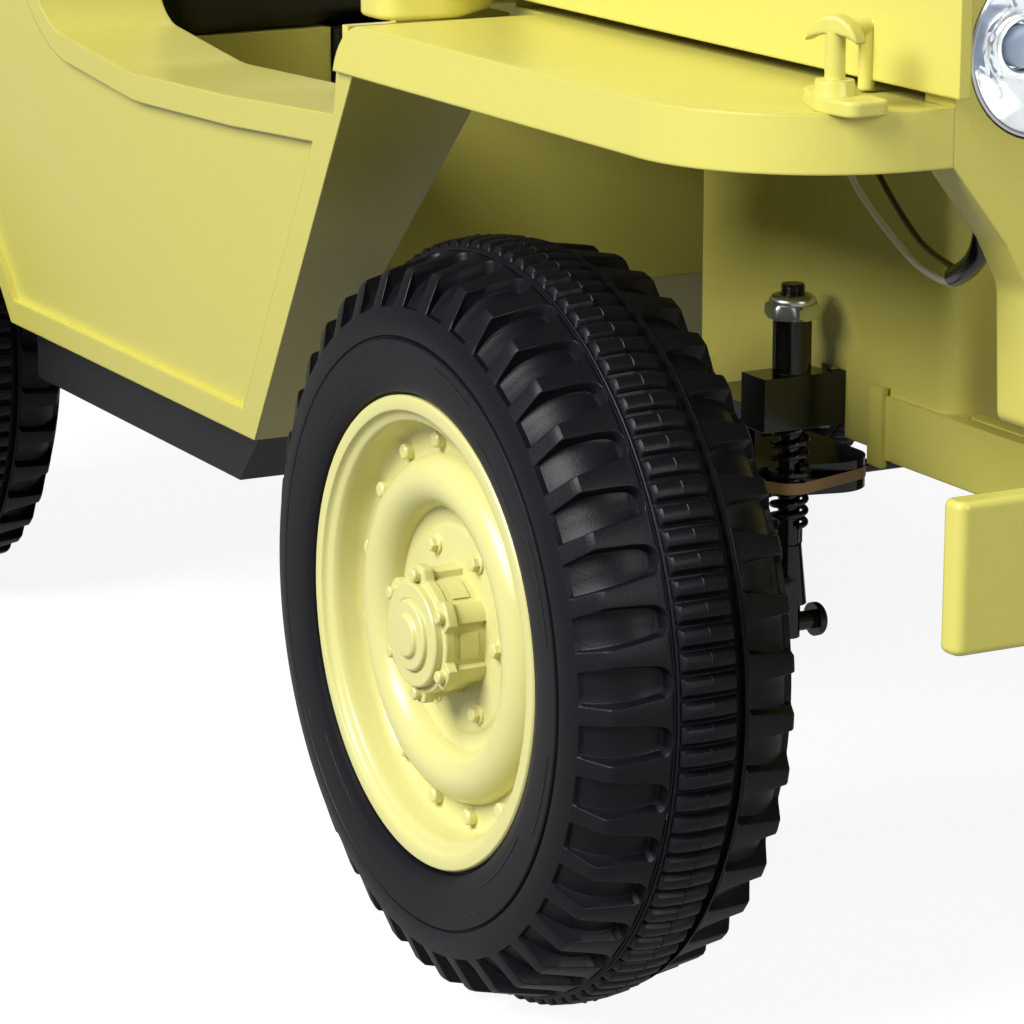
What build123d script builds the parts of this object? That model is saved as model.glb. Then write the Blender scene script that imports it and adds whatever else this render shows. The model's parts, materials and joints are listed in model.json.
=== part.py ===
from build123d import *
import math
import os

os.makedirs("parts", exist_ok=True)

# Ride-on toy army 4x4 car, in millimetres.
# +X points to the front, +Y to the left, +Z up. The wheels stand on Z = 0.

# Wheels
tyre_radius = 135.0
tyre_width = 100.0
tyre_bore_radius = 79.0
rim_lip_radius = 83.0
rim_lip_face = 38.0
channel_radius = 75.0
web_face = 22.5
web_thickness = 5.0
ring_outer_radius = 61.5
ring_inner_radius = 43.0
ring_crown = 32.0
flange_radius = 37.0
hub_radius = 22.6
hub_plate_radius = 24.4
hub_plate_thickness = 3.0
hub_face = 38.0
hub_lobe_width = 8.5
hub_disc_radius = 18.0
hub_button_radius = 12.5
hub_disc_face = 44.0
hub_lobes = 6
lug_count = 40
lug_depth = 3.4
lug_start = 18.0
lug_end = 45.5
notch_width = 11.0
shoulder_fall = 5.6
wheelbase = 640.0
track = 500.0
axle_radius = 6.0
axle_end = 30.0
running_gap = 0.1
end_gap = 0.3

# Body, side view. Lengths ahead are measured from the front axle.
bumper_ahead = 250.0
fender_ahead = 212.0
fender_behind = 61.0
fender_tail_radius = 25.0
fender_height = 341.0
fender_lip = 18.0
fender_thickness = 4.0
fender_corner = 60.0
flange_top_ahead = -48.0
flange_foot_ahead = -218.0
firewall_ahead = -165.0
hood_ahead = 222.0
hood_behind = 66.0
hood_rise = 79.0
hood_wall = 4.0
hood_gap = 4.0
hook_ahead = 173.0
hook_radius = 2.6
hook_rise = 20.0
hook_reach = 14.0
latch_ahead = 198.0
cowl_length = 110.0
cowl_corner = 14.0
shoulder_ahead = -44.0
shoulder_half_width = 278.0
shoulder_wall = 4.0
hinge_pin_radius = 2.0
hinge_radius = 4.5
hinge_leaf = 14.0
tub_bottom = 154.0
tub_tail_behind = 190.0
tub_top = 398.0
tub_wall = 5.0
sill_height = 300.0
entry_rear_ahead = -350.0
panel_border = 12.0
panel_recess = 3.0
arch_radius = 160.0
bed_height = 215.0
riser_ahead = -470.0

# Body, from the front
fender_overhang = 40.0
hood_half_width = 222.0
side_tuck_in = 38.0
sill_inner_half_width = 232.0
cowl_half_width = 213.0
bay_half_width = 120.0
bay_wall = 4.0
bay_ahead = 75.0
bay_behind = 94.0
bay_skirt_bottom = 188.0
bay_floor = 216.0
rail_height = 23.0
rail_width = 14.0
rail_behind = 28.0
battery_behind = 70.0
battery_length = 110.0
battery_width = 120.0
battery_height = 95.0

# Chassis
tray_bottom = 130.0
tray_half_width = 242.0
tray_front_ahead = -228.0
tray_front_rake = 22.0
spine_half_width = 60.0
rear_rail_y = 100.0
rear_rail_width = 24.0
gearbox_inner = 132.0
gearbox_outer = 186.0

# Steering and suspension
kingpin_inboard = 112.0
steer_arm_length = 55.0
rod_radius = 4.0
block_length = 16.0
block_width = 28.0
block_outboard = 2.0
block_bottom = 193.0
block_top = 212.5
pivot_tube_radius = 7.0
pivot_tube_top = 232.0
nut_width = 18.0
nut_height = 9.0
nut_collar = 3.5
thread_end = 3.5
plate_top = 176.5
plate_thickness = 11.5
carrier_radius = 7.0
axle_collar = 9.0
carrier_neck = 4.8
clamp_drop = 16.0
clamp_radius = 3.5
clamp_head_radius = 6.2
clamp_length = 11.0
carrier_top = 149.0
arm_thickness = 6.0
plate_behind = 48.0
plate_outboard = 15.0
plate_inboard = 39.0
spring_radius = 6.0
spring_wire_radius = 1.15
spring_seat_radius = 8.0
spring_seat_thickness = 1.5
upper_turns = 3
lower_turns = 4
link_radius = 3.0

# Front end
grille_thickness = 16.0
grille_drop = 102.0
grille_half_width = 216.5
lamp_radius = 27.0
lamp_half_spacing = 185.0
lamp_over_fender = 15.0
bumper_depth = 10.0
bumper_edge = 3.5
bumper_height = 47.0
bumper_bottom = 184.0
bumper_half_width = 237.0
slot_count = 8
slot_width = 17.0
slot_pitch = 33.0
slot_drop = 69.0
slot_top_drop = 24.0

# Cabin
screen_height = 172.0
screen_half_width = 205.0
screen_bar = 16.0
screen_thickness = 12.0
screen_setback = 18.0
glass_thickness = 3.0
steering_wheel_radius = 85.0
steering_wheel_tube = 6.5
column_radius = 8.0
column_reach = 78.0
column_rise = 34.0
column_foot_rise = 26.0
steering_wheel_y = 100.0
seat_front_ahead = -385.0
console_half_width = 129.0
seat_length = 175.0
seat_base_top = 290.0
cushion_thickness = 32.0
seat_inner = 30.0
seat_outer = 214.0
backrest_top = 470.0
backrest_thickness = 34.0

# Tail
spare_radius = 118.0
spare_width = 60.0
spare_bore = 68.4
spare_gap = 16.0
spare_height = 300.0
spare_y = -70.0
can_width = 110.0
can_depth = 46.0
can_height = 150.0
can_y = 140.0
tail_lamp_height = 250.0
tail_lamp_radius = 11.0
tail_lamp_y = -262.0

# Derived places
half_track = track / 2
rear_extent = wheelbase + tub_tail_behind + spare_gap + spare_width
front_axle = (rear_extent - bumper_ahead) / 2
rear_axle = front_axle - wheelbase
hub_height = tyre_radius
fender_half_width = half_track + fender_overhang
kingpin_y = half_track - kingpin_inboard
tail_x = rear_axle - tub_tail_behind
cowl_x = front_axle - hood_behind
dash_x = cowl_x - cowl_length
fender_under = fender_height - fender_thickness
lip_bottom = fender_height - fender_lip
side_top_half = fender_half_width - 2
side_foot_half = side_top_half - side_tuck_in
hood_height = fender_height + hood_rise
hood_bottom = fender_height + hood_gap
hook_height = fender_height + hook_rise
grille_bottom = fender_height - grille_drop
lamp_height = fender_height + lamp_over_fender
slot_bottom = fender_height - slot_drop
slot_top = hood_height - slot_top_drop
cowl_top = hood_height - 4
hinge_x = cowl_x - 1.5
hinge_z = cowl_top + hinge_radius + 0.5
grille_back_x = front_axle + fender_ahead - grille_thickness
rail_bottom = bay_floor - 7 - rail_height


def box(x0, x1, y0, y1, z0, z1):
    """A block between two corners."""
    return Pos((x0 + x1) / 2, (y0 + y1) / 2, (z0 + z1) / 2) * Box(x1 - x0, y1 - y0, z1 - z0)


def rod(start, end, radius):
    """A round bar from one point to another."""
    line = Vector(*end) - Vector(*start)
    plane = Plane(origin=start, z_dir=line)
    return extrude(plane * Circle(radius), amount=line.length)


def side_plate(outline, y0, y1):
    """A plate with an outline in X and Z, from y0 up to y1."""
    return extrude(Plane.XZ.offset(-y0) * outline, amount=y0 - y1)


def cross_plate(outline, x0, x1):
    """A plate with an outline in Y and Z, from x0 up to x1."""
    return extrude(Plane.YZ.offset(x0) * outline, amount=x1 - x0)


def flat_plate(outline, z0, z1):
    """A plate with an outline in X and Y, from z0 up to z1."""
    return extrude(Plane.XY.offset(z0) * outline, amount=z1 - z0)


def polygon(*points):
    """A closed face with sharp corners."""
    return make_face(Polyline(*points, close=True))


def rounded(points, radii):
    """A closed face with a radius at each corner."""
    return make_face(FilletPolyline(*points, radius=radii, close=True))


def mirrored(piece):
    """The same piece on the other side of the car."""
    return mirror(piece, about=Plane.XZ)


def both_sides(piece):
    """The piece on the right and its twin on the left."""
    return [piece, mirrored(piece)]


def save(name, pieces):
    """Write one node, with its solids side by side."""
    if not isinstance(pieces, list):
        pieces = [pieces]
    solids = [solid for piece in pieces for solid in piece.solids()]
    node = solids[0] if len(solids) == 1 else Compound(children=solids)
    node.label = name
    export_step(node, f"parts/{name}.step")


# Wheels, turned about the Y axis with their outer face towards -Y

def turned(points, x, y, z):
    """A body of revolution about a Y line, from (radius, distance outboard) points."""
    outline = make_face(Polyline(*[(radius, -out) for radius, out in points], close=True))
    ring = revolve(outline, axis=Axis.Y)
    return Pos(x, y, z) * ring


def tyre_body(radius, width, bore, bead):
    """A tyre's carcass at the origin, its tread falling away to rounded shoulders."""
    half = width / 2
    outer_half = [
        (bore, half * 0.67),
        (bead, half * 0.69),
        (bead, half * 0.75),
        (bead + 5, half * 0.85),
        (radius * 0.8, half - 0.2),
        (radius * 0.84, half),
        (radius * 0.88, half - 0.4),
        (radius - 1.5 * shoulder_fall, half * 0.95),
        (radius - shoulder_fall, half * 0.9),
        (radius - 0.5, half * 0.66),
        (radius, half * 0.35),
    ]
    inner_half = [(r, -out) for r, out in reversed(outer_half)]
    return turned(outer_half + inner_half, 0, 0, 0)


def tread_notches(radius):
    """The gaps between the lugs on both halves of the tread."""
    top, floor = radius + 5, radius - lug_depth
    outline = polygon((lug_start, floor), (lug_end, floor - shoulder_fall), (lug_end, top), (lug_start, top))
    cutter = extrude(Plane.YZ * outline, amount=notch_width / 2, both=True)
    inner_edges = cutter.edges().filter_by(Axis.Z).group_by(Axis.Y)[0]
    cutter = fillet(inner_edges, notch_width * 0.4)
    pitch = 360 / lug_count
    notches = []
    for k in range(lug_count):
        notches.append(Rot(0, k * pitch, 0) * cutter)
        notches.append(Rot(0, (k + 0.5) * pitch, 0) * mirrored(cutter))
    return notches


def disc_ring(x, y, z):
    """The half-round ring pressed into the wheel disc."""
    crown = (ring_outer_radius + ring_inner_radius) / 2
    foot = -web_face + web_thickness / 2
    line = Line((ring_inner_radius, foot), (ring_outer_radius, foot))
    arc = ThreePointArc((ring_outer_radius, foot), (crown, -ring_crown), (ring_inner_radius, foot))
    return Pos(x, y, z) * revolve(make_face([line, arc]), axis=Axis.Y)


def rim(x, y, z):
    """Wheel disc: bead lip, deep channel, flat web, half-round ring and bowl."""
    bore = axle_radius + running_gap
    inner = -rim_lip_face
    points = [
        (tyre_bore_radius, inner),
        (tyre_bore_radius, rim_lip_face - 4),
        (rim_lip_radius, rim_lip_face - 3),
        (rim_lip_radius, rim_lip_face),
        (rim_lip_radius - 5.5, rim_lip_face),
        (rim_lip_radius - 6, rim_lip_face - 2.5),
        (channel_radius - 1, rim_lip_face - 3),
        (channel_radius - 3.5, web_face + 1.5),
        (channel_radius - 5, web_face),
        (flange_radius + 1, web_face),
        (flange_radius, web_face + 0.8),
        (bore, web_face + 0.8),
        (bore, inner),
        (bore + 8, inner),
        (bore + 8, web_face - 3 * web_thickness),
        (channel_radius - 10, web_face - web_thickness),
        (channel_radius - 3, inner),
    ]
    return turned(points, x, y, z) + disc_ring(x, y, z)


def lobed(radius, x, z):
    """A round outline with a flat-topped lobe for each bolt."""
    outline = Pos(x, z) * Circle(radius - 2.2)
    for k in range(hub_lobes):
        turn = 360 * (k + 0.5) / hub_lobes
        outline += Pos(x, z) * Rot(0, 0, turn) * Pos(radius / 2, 0) * RectangleRounded(radius, hub_lobe_width, 1.5)
    return outline


def hub_cap(x, y, z):
    """The lobed drum over the axle's end, with stepped discs on its face."""
    foot = web_face + 0.8
    plate_back = hub_face - hub_plate_thickness
    drum = extrude(Plane.XZ.offset(-y + foot) * lobed(hub_radius, x, z), amount=plate_back - foot)
    drum += extrude(Plane.XZ.offset(-y + plate_back) * lobed(hub_plate_radius, x, z), amount=hub_plate_thickness)
    hollow = axle_end - foot + 3
    drum -= extrude(Plane.XZ.offset(-y + foot) * (Pos(x, z) * Circle(axle_radius + 8)), amount=hollow)
    rise = hub_disc_face - hub_face
    for radius, share in ((hub_disc_radius, 0.5), (hub_button_radius, 0.75), (hub_button_radius * 0.6, 1)):
        disc = Plane.XZ.offset(-y + hub_face) * (Pos(x, z) * Circle(radius))
        drum += extrude(disc, amount=rise * share)
    return drum


# Front running gear

def clamp_bolt(x, y):
    """The carrier's foot with the headed bolt that holds the axle in it."""
    z = hub_height - clamp_drop
    foot = rod((x, y, z - carrier_neck), (x, y, hub_height), carrier_neck)
    head = rod((x, y + clamp_length, z), (x, y + clamp_length + clamp_radius, z), clamp_head_radius)
    head = fillet(head.edges().sort_by(Axis.Y)[-1], clamp_radius / 2)
    return foot + rod((x, y, z), (x, y + clamp_length + 1, z), clamp_radius) + head


def stub(x):
    """Knuckle on the right: pivot rod, carrier, stub axle and steering arm."""
    y = -kingpin_y
    foot = hub_height - carrier_radius - 1
    height = carrier_top - foot
    piece = Pos(x, y, foot + height / 2) * Cone(carrier_radius, carrier_neck, height)
    piece += rod((x, y, carrier_top - 2), (x, y, pivot_tube_top + nut_height + thread_end), rod_radius)
    piece += rod((x, y, hub_height), (x, -half_track - axle_end, hub_height), axle_radius)
    piece += rod((x, y - carrier_neck, hub_height), (x, y - 3 * carrier_radius, hub_height), axle_collar)
    piece += clamp_bolt(x, y)
    arm_end = x - steer_arm_length
    piece += box(arm_end, x, y - 6, y + 6, carrier_top - 0.5, carrier_top + arm_thickness)
    piece += rod((arm_end, y, carrier_top), (arm_end, y, carrier_top + arm_thickness), 6)
    pin_top = carrier_top + arm_thickness + 2 * link_radius + 2
    piece += rod((arm_end, y, carrier_top), (arm_end, y, pin_top), 2.5)
    return piece


def pivot_nut(x):
    """The lock nut on top of the pivot rod."""
    y = -kingpin_y
    plane = Plane.XY.offset(pivot_tube_top + end_gap)
    flats = nut_height - nut_collar
    nut = extrude(plane * (Pos(x, y) * RegularPolygon(nut_width / 2, 6, major_radius=False)), amount=flats)
    nut += Pos(x, y, pivot_tube_top + flats + nut_collar / 2) * Cone(nut_width / 2 - 1, nut_width / 2 - 2, nut_collar)
    return nut - Pos(x, y, pivot_tube_top) * Cylinder(rod_radius, 60)


def front_frame():
    """Beam with a pivot block and tube at each end, and the spine behind it."""
    x = front_axle
    half = block_length / 2
    beam = box(x - half, x + half, -kingpin_y, kingpin_y, block_bottom, block_top - 3)
    for y in (-kingpin_y, kingpin_y):
        middle = y + math.copysign(block_outboard, y)
        beam += box(x - half, x + half, middle - block_width / 2, middle + block_width / 2, block_bottom, block_top)
        beam += rod((x, y, block_top - 1), (x, y, pivot_tube_top), pivot_tube_radius)
        beam -= rod((x, y, block_bottom - 5), (x, y, pivot_tube_top + 5), rod_radius + running_gap)
    firewall = x + firewall_ahead
    spine = polygon((firewall, tub_bottom + 8), (x - bay_behind, block_bottom),
                    (x, block_bottom), (x, bay_floor), (firewall, bay_floor))
    beam += side_plate(spine, -spine_half_width, spine_half_width)
    return beam


def spring_plate():
    """The right spring plate behind the pivot rod, with the seat for both coils."""
    x, y = front_axle, -kingpin_y
    low, back = plate_top - plate_thickness, x - plate_behind
    near, far = y - plate_outboard, y + plate_inboard
    outline = rounded([(back, near), (x - 9, near), (x + 3.5, far), (back, far)], [4, 6, 14, 4])
    plate = flat_plate(outline, low, plate_top)
    plate += box(back, back + 6, y - 11, y + 11, plate_top - 1, block_bottom + 6)
    plate += box(back, x - block_length / 2, y - 11, y + 11, block_bottom, block_bottom + 6)
    plate -= rod((x, y, low - 5), (x, y, plate_top + 5), spring_seat_radius - 0.3)
    plate += rod((x, y, plate_top - spring_seat_thickness), (x, y, plate_top), spring_seat_radius)
    return plate - rod((x, y, low - 5), (x, y, plate_top + 5), rod_radius + 1)


def spring(x, y, low, high, turns):
    """A short coil round the pivot rod."""
    height = high - low - 2 * spring_wire_radius
    base = low + spring_wire_radius
    path = Pos(x, y, base) * Helix(height / turns, height, spring_radius)
    start = path @ 0
    section = Plane(origin=start, z_dir=path % 0) * Circle(spring_wire_radius)
    return sweep(section, path=path)


def springs():
    """The coil above and the coil below each spring plate."""
    x, y = front_axle, -kingpin_y
    upper = spring(x, y, plate_top + 0.1, block_bottom - 0.1, upper_turns)
    seat_bottom = plate_top - spring_seat_thickness
    lower = spring(x, y, carrier_top + arm_thickness + end_gap, seat_bottom - 0.1, lower_turns)
    return both_sides(upper) + both_sides(lower)


def tie_rod():
    """The cross link between the two steering arms."""
    x = front_axle - steer_arm_length
    low = carrier_top + arm_thickness + end_gap
    z = low + link_radius
    bar = rod((x, -kingpin_y, z), (x, kingpin_y, z), link_radius - 0.4)
    for y in (-kingpin_y, kingpin_y):
        bar += rod((x, y, low), (x, y, low + 2 * link_radius), 6)
        bar -= rod((x, y, low - 5), (x, y, low + 15), 2.5 + running_gap)
    return bar


# Rear running gear

def rear_axle_beam():
    """Dead axle through both rear wheels."""
    end = half_track + axle_end
    return rod((rear_axle, -end, hub_height), (rear_axle, end, hub_height), axle_radius)


def gearbox():
    """The right drive motor and gearbox, hung on the axle inside its wheel."""
    outline = rounded([(rear_axle - 30, 100), (rear_axle + 70, 108), (rear_axle + 70, 168),
                       (rear_axle - 30, 176)], [14, 20, 20, 14])
    case = side_plate(outline, -gearbox_outer, -gearbox_inner)
    return case - rod((rear_axle, -200, hub_height), (rear_axle, -100, hub_height), axle_radius)


def rear_frame():
    """Two rails under the bed that carry the axle and the gearboxes."""
    front = front_axle + riser_ahead
    pieces = []
    for side in (-1, 1):
        y0, y1 = sorted((side * rear_rail_y, side * (rear_rail_y + rear_rail_width)))
        rail = box(tail_x + 20, front - tub_wall, y0, y1, hub_height - 14, bed_height)
        rail -= box(tail_x, rear_axle - 40, y0 - 1, y1 + 1, 0, bed_height - 34)
        rail -= rod((rear_axle, y0 - 5, hub_height), (rear_axle, y1 + 5, hub_height), axle_radius)
        pieces.append(rail)
    return pieces


def tray():
    """The black floor pan under the cabin."""
    front = front_axle + tray_front_ahead
    back = front_axle + riser_ahead
    outline = polygon((front - tray_front_rake, tray_bottom), (front, tub_bottom),
                      (back, tub_bottom), (back, tray_bottom))
    pan = side_plate(outline, -tray_half_width, tray_half_width)
    return pan


# Body

def side_outline():
    """The right side panel: raked front, low entry, wheel arch and tail."""
    f = front_axle
    return rounded([
        (f + flange_top_ahead, lip_bottom),
        (f - fender_behind, lip_bottom),
        (f - fender_behind - 11, sill_height + 6),
        (f - 170, sill_height),
        (f - 262, sill_height - 3),
        (f + entry_rear_ahead + 6, sill_height + 6),
        (f + entry_rear_ahead - 14, tub_top),
        (tail_x, tub_top),
        (tail_x, tub_bottom + 24),
        (tail_x + 24, tub_bottom),
        (f + flange_foot_ahead, tub_bottom),
    ], [0, 0, 3, 60, 100, 22, 14, 8, 6, 6, 2])


def outside_panel(depth):
    """All that lies outside the right panel's leaning face, or that face moved inboard."""
    top, foot, far = -side_top_half + depth, -side_foot_half + depth, -side_top_half - 60
    low, high = tub_bottom - 20, tub_top + 20
    outline = polygon((top, high), (top, lip_bottom), (foot, tub_bottom), (foot, low), (far, low), (far, high))
    return cross_plate(outline, tail_x - 5, front_axle)


def side_panel():
    """One side of the tub, leaning in towards its foot."""
    side = side_plate(side_outline(), -side_top_half, -sill_inner_half_width)
    side -= outside_panel(0)
    start, end = (rear_axle, -side_top_half - 5, hub_height), (rear_axle, -100, hub_height)
    recess = side_plate(offset(side_outline(), amount=-panel_border), -side_top_half - 5, -sill_inner_half_width)
    recess = recess & outside_panel(panel_recess)
    side -= recess - rod(start, end, arch_radius + panel_border)
    return side - rod(start, end, arch_radius)


def wheel_housing():
    """The closed box over the right rear wheel, inside the tub."""
    inner = half_track - tyre_width / 2 - 10
    housing = rod((rear_axle, -sill_inner_half_width - 1, hub_height), (rear_axle, -inner, hub_height),
                  arch_radius + tub_wall)
    housing -= rod((rear_axle, -300, hub_height), (rear_axle, -inner - tub_wall, hub_height), arch_radius)
    return housing - box(rear_axle - 300, rear_axle + 300, -300, 0, -100, bed_height)


def tub():
    """The open body: sides, floor, toe board, seat risers, bed, tail and cowl."""
    f = front_axle
    wide = sill_inner_half_width + 1
    fire = f + firewall_ahead
    toe = f + flange_foot_ahead
    back = f + riser_ahead
    body = side_panel()
    body += mirrored(side_panel())
    floor = polygon((toe, tub_bottom), (fire, bed_height), (fire, lip_bottom), (fire - tub_wall, lip_bottom),
                    (fire - tub_wall, bed_height + 2), (toe - 3, tub_bottom + tub_wall),
                    (back - tub_wall, tub_bottom + tub_wall), (back - tub_wall, tub_bottom))
    body += side_plate(floor, -wide, wide)
    inner = half_track - tyre_width / 2 - 10
    body += box(back - tub_wall, back, -wide, wide, tub_bottom, bed_height + tub_wall)
    body += box(tail_x, back, -inner, inner, bed_height, bed_height + tub_wall)
    for side in (-1, 1):
        y0, y1 = sorted((side * (inner - 1), side * (inner + tub_wall)))
        flank = box(tail_x, back, y0, y1, bed_height, bed_height + tub_wall)
        body += flank
    body += wheel_housing()
    body += mirrored(wheel_housing())
    for side in (-1, 1):
        y0, y1 = sorted((side * (inner - 1), side * wide))
        front_shelf = rear_axle + arch_radius * 0.86
        body += box(front_shelf, back, y0, y1, bed_height, bed_height + tub_wall)
        body += box(tail_x, rear_axle - arch_radius * 0.86, y0, y1, bed_height, bed_height + tub_wall)
    body += box(tail_x, tail_x + tub_wall, -wide, wide, bed_height, tub_top - 20)
    for side in (-1, 1):
        y0, y1 = sorted((side * (console_half_width + 1), side * wide))
        seat_front = f + seat_front_ahead - 10
        body += box(back - tub_wall, seat_front, y0, y1, tub_bottom, seat_base_top)
    return body


def hinge_part(inner, outer, radius):
    """A pair of round pieces about the hood's pivot line, one on each side."""
    return [
        rod((hinge_x, side * inner, hinge_z), (hinge_x, side * outer, hinge_z), radius)
        for side in (-1, 1)
    ]


def shoulder_outline(inset):
    """Plan of the cowl's right shoulder, from the hood's side out to the body's side."""
    f = front_axle
    near, inner = -hood_half_width - hood_gap - 1, -cowl_half_width + 18
    outline = rounded([
        (cowl_x + 2, -shoulder_half_width),
        (f + shoulder_ahead, -shoulder_half_width),
        (f + shoulder_ahead + 4, -half_track),
        (cowl_x + 6, near),
        (cowl_x - 3, near),
        (cowl_x - 3, inner),
        (cowl_x - 38, inner),
        (cowl_x - 38, near - 6),
    ], [10, 9, 14, 5, 0, 0, 0, 16])
    return offset(outline, amount=-inset) if inset else outline


def shoulder():
    """The cowl's right shoulder as a block with rounded edges above and below."""
    block = flat_plate(shoulder_outline(0), fender_height, cowl_top)
    block = fillet(block.edges().group_by(Axis.Z)[-1], 7)
    return fillet(block.edges().group_by(Axis.Z)[0], 2)


def cowl():
    """The scuttle between the hood and the windscreen, open below."""
    shell = box(dash_x, cowl_x - 3, -cowl_half_width, cowl_half_width, fender_height, cowl_top)
    edges = shell.edges().filter_by(Axis.X).sort_by(Axis.Z)[-2:]
    shell = fillet(edges, cowl_corner)
    inside = flat_plate(shoulder_outline(shoulder_wall), fender_height - 1, cowl_top - shoulder_wall)
    for block in both_sides(shoulder()):
        shell += block
    for space in both_sides(inside):
        shell -= space
    hollow = box(dash_x - 1, cowl_x - 3 - tub_wall, -cowl_half_width + tub_wall, cowl_half_width - tub_wall,
                 fender_height - 1, cowl_top - tub_wall)
    shell -= hollow
    deck = box(front_axle + firewall_ahead - tub_wall, cowl_x - 3, -cowl_half_width, cowl_half_width,
               lip_bottom, fender_height)
    deck -= box(front_axle + firewall_ahead, cowl_x - 3 - tub_wall, -300, 300, 0, fender_under)
    deck -= box(front_axle - bay_behind - 1, cowl_x, -bay_half_width, bay_half_width, 0, fender_under)
    shell += deck
    barrels = hinge_part(100, 118, hinge_radius) + hinge_part(142, 160, hinge_radius)
    for piece in barrels + hinge_part(101, 159, hinge_pin_radius):
        shell += piece
    for side in (-1, 1):
        y0, y1 = sorted((side * 100, side * 160))
        shell += box(hinge_x - hinge_leaf, hinge_x - hinge_radius - 1, y0, y1, cowl_top - 0.5, cowl_top + 3)
        for inner in (100, 142):
            y0, y1 = sorted((side * inner, side * (inner + 18)))
            shell += box(hinge_x - hinge_leaf, hinge_x, y0, y1, cowl_top - 0.5, cowl_top + 3)
    return shell


def fender_profile(inset):
    """The fender's side view, which rounds down at its rear end."""
    back, front = front_axle - fender_behind + inset, front_axle + fender_ahead
    low, top = lip_bottom - fender_tail_radius, fender_height - inset
    outline = rounded([(back, low), (front, low), (front, top), (back, top)], [0, 0, 0, fender_tail_radius - inset])
    return side_plate(outline, -fender_half_width, 0)


def fender():
    """The right front fender: flat top, rounded front corner and turned-down lip."""
    f = front_axle
    outer = -fender_half_width
    back, front = f - fender_behind, f + fender_ahead
    inner = -grille_half_width
    outline = [(back, outer), (front, outer), (front, inner), (back, inner)]
    top = flat_plate(rounded(outline, [0, fender_corner, 0, 0]), lip_bottom, fender_height)
    top = top & fender_profile(0)
    t = fender_thickness
    core = [(back - 1, outer + t), (front - t, outer + t), (front - t, 0), (back - 1, 0)]
    room = flat_plate(rounded(core, [0, fender_corner - t, 0, 0]), lip_bottom - 1, fender_under)
    top -= room & fender_profile(t)
    shelf = box(back, grille_back_x, inner - 1, -bay_half_width, fender_under, fender_height)
    shelf -= rod((f + 183, -lamp_half_spacing, 300), (f + 183, -lamp_half_spacing, 350), 8)
    piece = top + shelf
    for ahead, inboard in ((12, 22), (45, 30), (168, 12)):
        piece += rod((f + ahead, -half_track + inboard, fender_under),
                     (f + ahead, -half_track + inboard, fender_under - 12), 2.5)
    return piece


def engine_bay():
    """Walls round the battery, open on top, with the rails to the bumper."""
    f = front_axle
    front, back = f + bay_ahead, f - bay_behind
    w = bay_half_width
    outline = rounded([(back, -w), (front, -w), (front, w), (back, w)], [2, 10, 10, 2])
    shell = flat_plate(outline, bay_skirt_bottom, fender_under)
    t = bay_wall
    hollow = rounded([(back + t, -w + t), (front - t, -w + t), (front - t, w - t), (back + t, w - t)],
                     [2, 7, 7, 2])
    shell -= flat_plate(hollow, bay_floor + t, fender_height)
    shell -= flat_plate(hollow, bay_skirt_bottom - 1, bay_floor)
    bumper_back = f + bumper_ahead - bumper_depth
    half = block_length / 2
    for side in (-1, 1):
        y0, y1 = sorted((side * (w + 2 - rail_width), side * (w + 2)))
        rail = box(f + rail_behind, bumper_back, y0, y1, rail_bottom, rail_bottom + rail_height)
        rail -= box(f + bay_ahead + 3, bumper_back + 1, (y0 + y1) / 2 - 1, (y0 + y1) / 2 + 1,
                    rail_bottom + rail_height - 1.5, rail_bottom + rail_height + 1)
        face = side * (w + 2)
        b0, b1 = sorted((face - side, face + side * 1.5))
        rail += box(f + rail_behind, f + rail_behind + 9, b0, b1, rail_bottom - 3, rail_bottom + rail_height + 3)
        shell += rail
    shell -= box(f - half, f + half, -w - 5, w + 5, bay_skirt_bottom - 5, block_top)
    shell -= box(back - 1, f + half, -spine_half_width, spine_half_width, bay_skirt_bottom - 5, bay_floor)
    return shell


def battery():
    """The battery in the bay, one plain block."""
    back, foot = front_axle - battery_behind, bay_floor + bay_wall
    w = battery_width / 2
    return box(back, back + battery_length, -w, w, foot, foot + battery_height)


def grille_panel():
    """The front panel: lamp holes, upright slots and cut-away lower corners."""
    front = front_axle + fender_ahead
    w = grille_half_width
    top = hood_height - hood_wall - 3
    outline = rounded([(-w, lip_bottom), (-w, top), (w, top), (w, lip_bottom),
                       (w - 20, lip_bottom - 25), (w - 28, lip_bottom - 40), (w - 30, grille_bottom),
                       (-w + 30, grille_bottom), (-w + 28, lip_bottom - 40), (-w + 20, lip_bottom - 25)],
                      [0, 16, 16, 0, 12, 12, 4, 4, 12, 12])
    panel = cross_plate(outline, grille_back_x, front)
    for y in (-lamp_half_spacing, lamp_half_spacing):
        panel -= rod((grille_back_x - 5, y, lamp_height), (front + 5, y, lamp_height), lamp_radius)
    for k in range(slot_count):
        y = (k - (slot_count - 1) / 2) * slot_pitch
        slot = SlotCenterToCenter(slot_top - slot_bottom - slot_width, slot_width, rotation=90)
        middle = (slot_top + slot_bottom) / 2
        panel -= cross_plate(Pos(y, middle) * slot, grille_back_x - 5, front + 5)
    return panel


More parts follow.
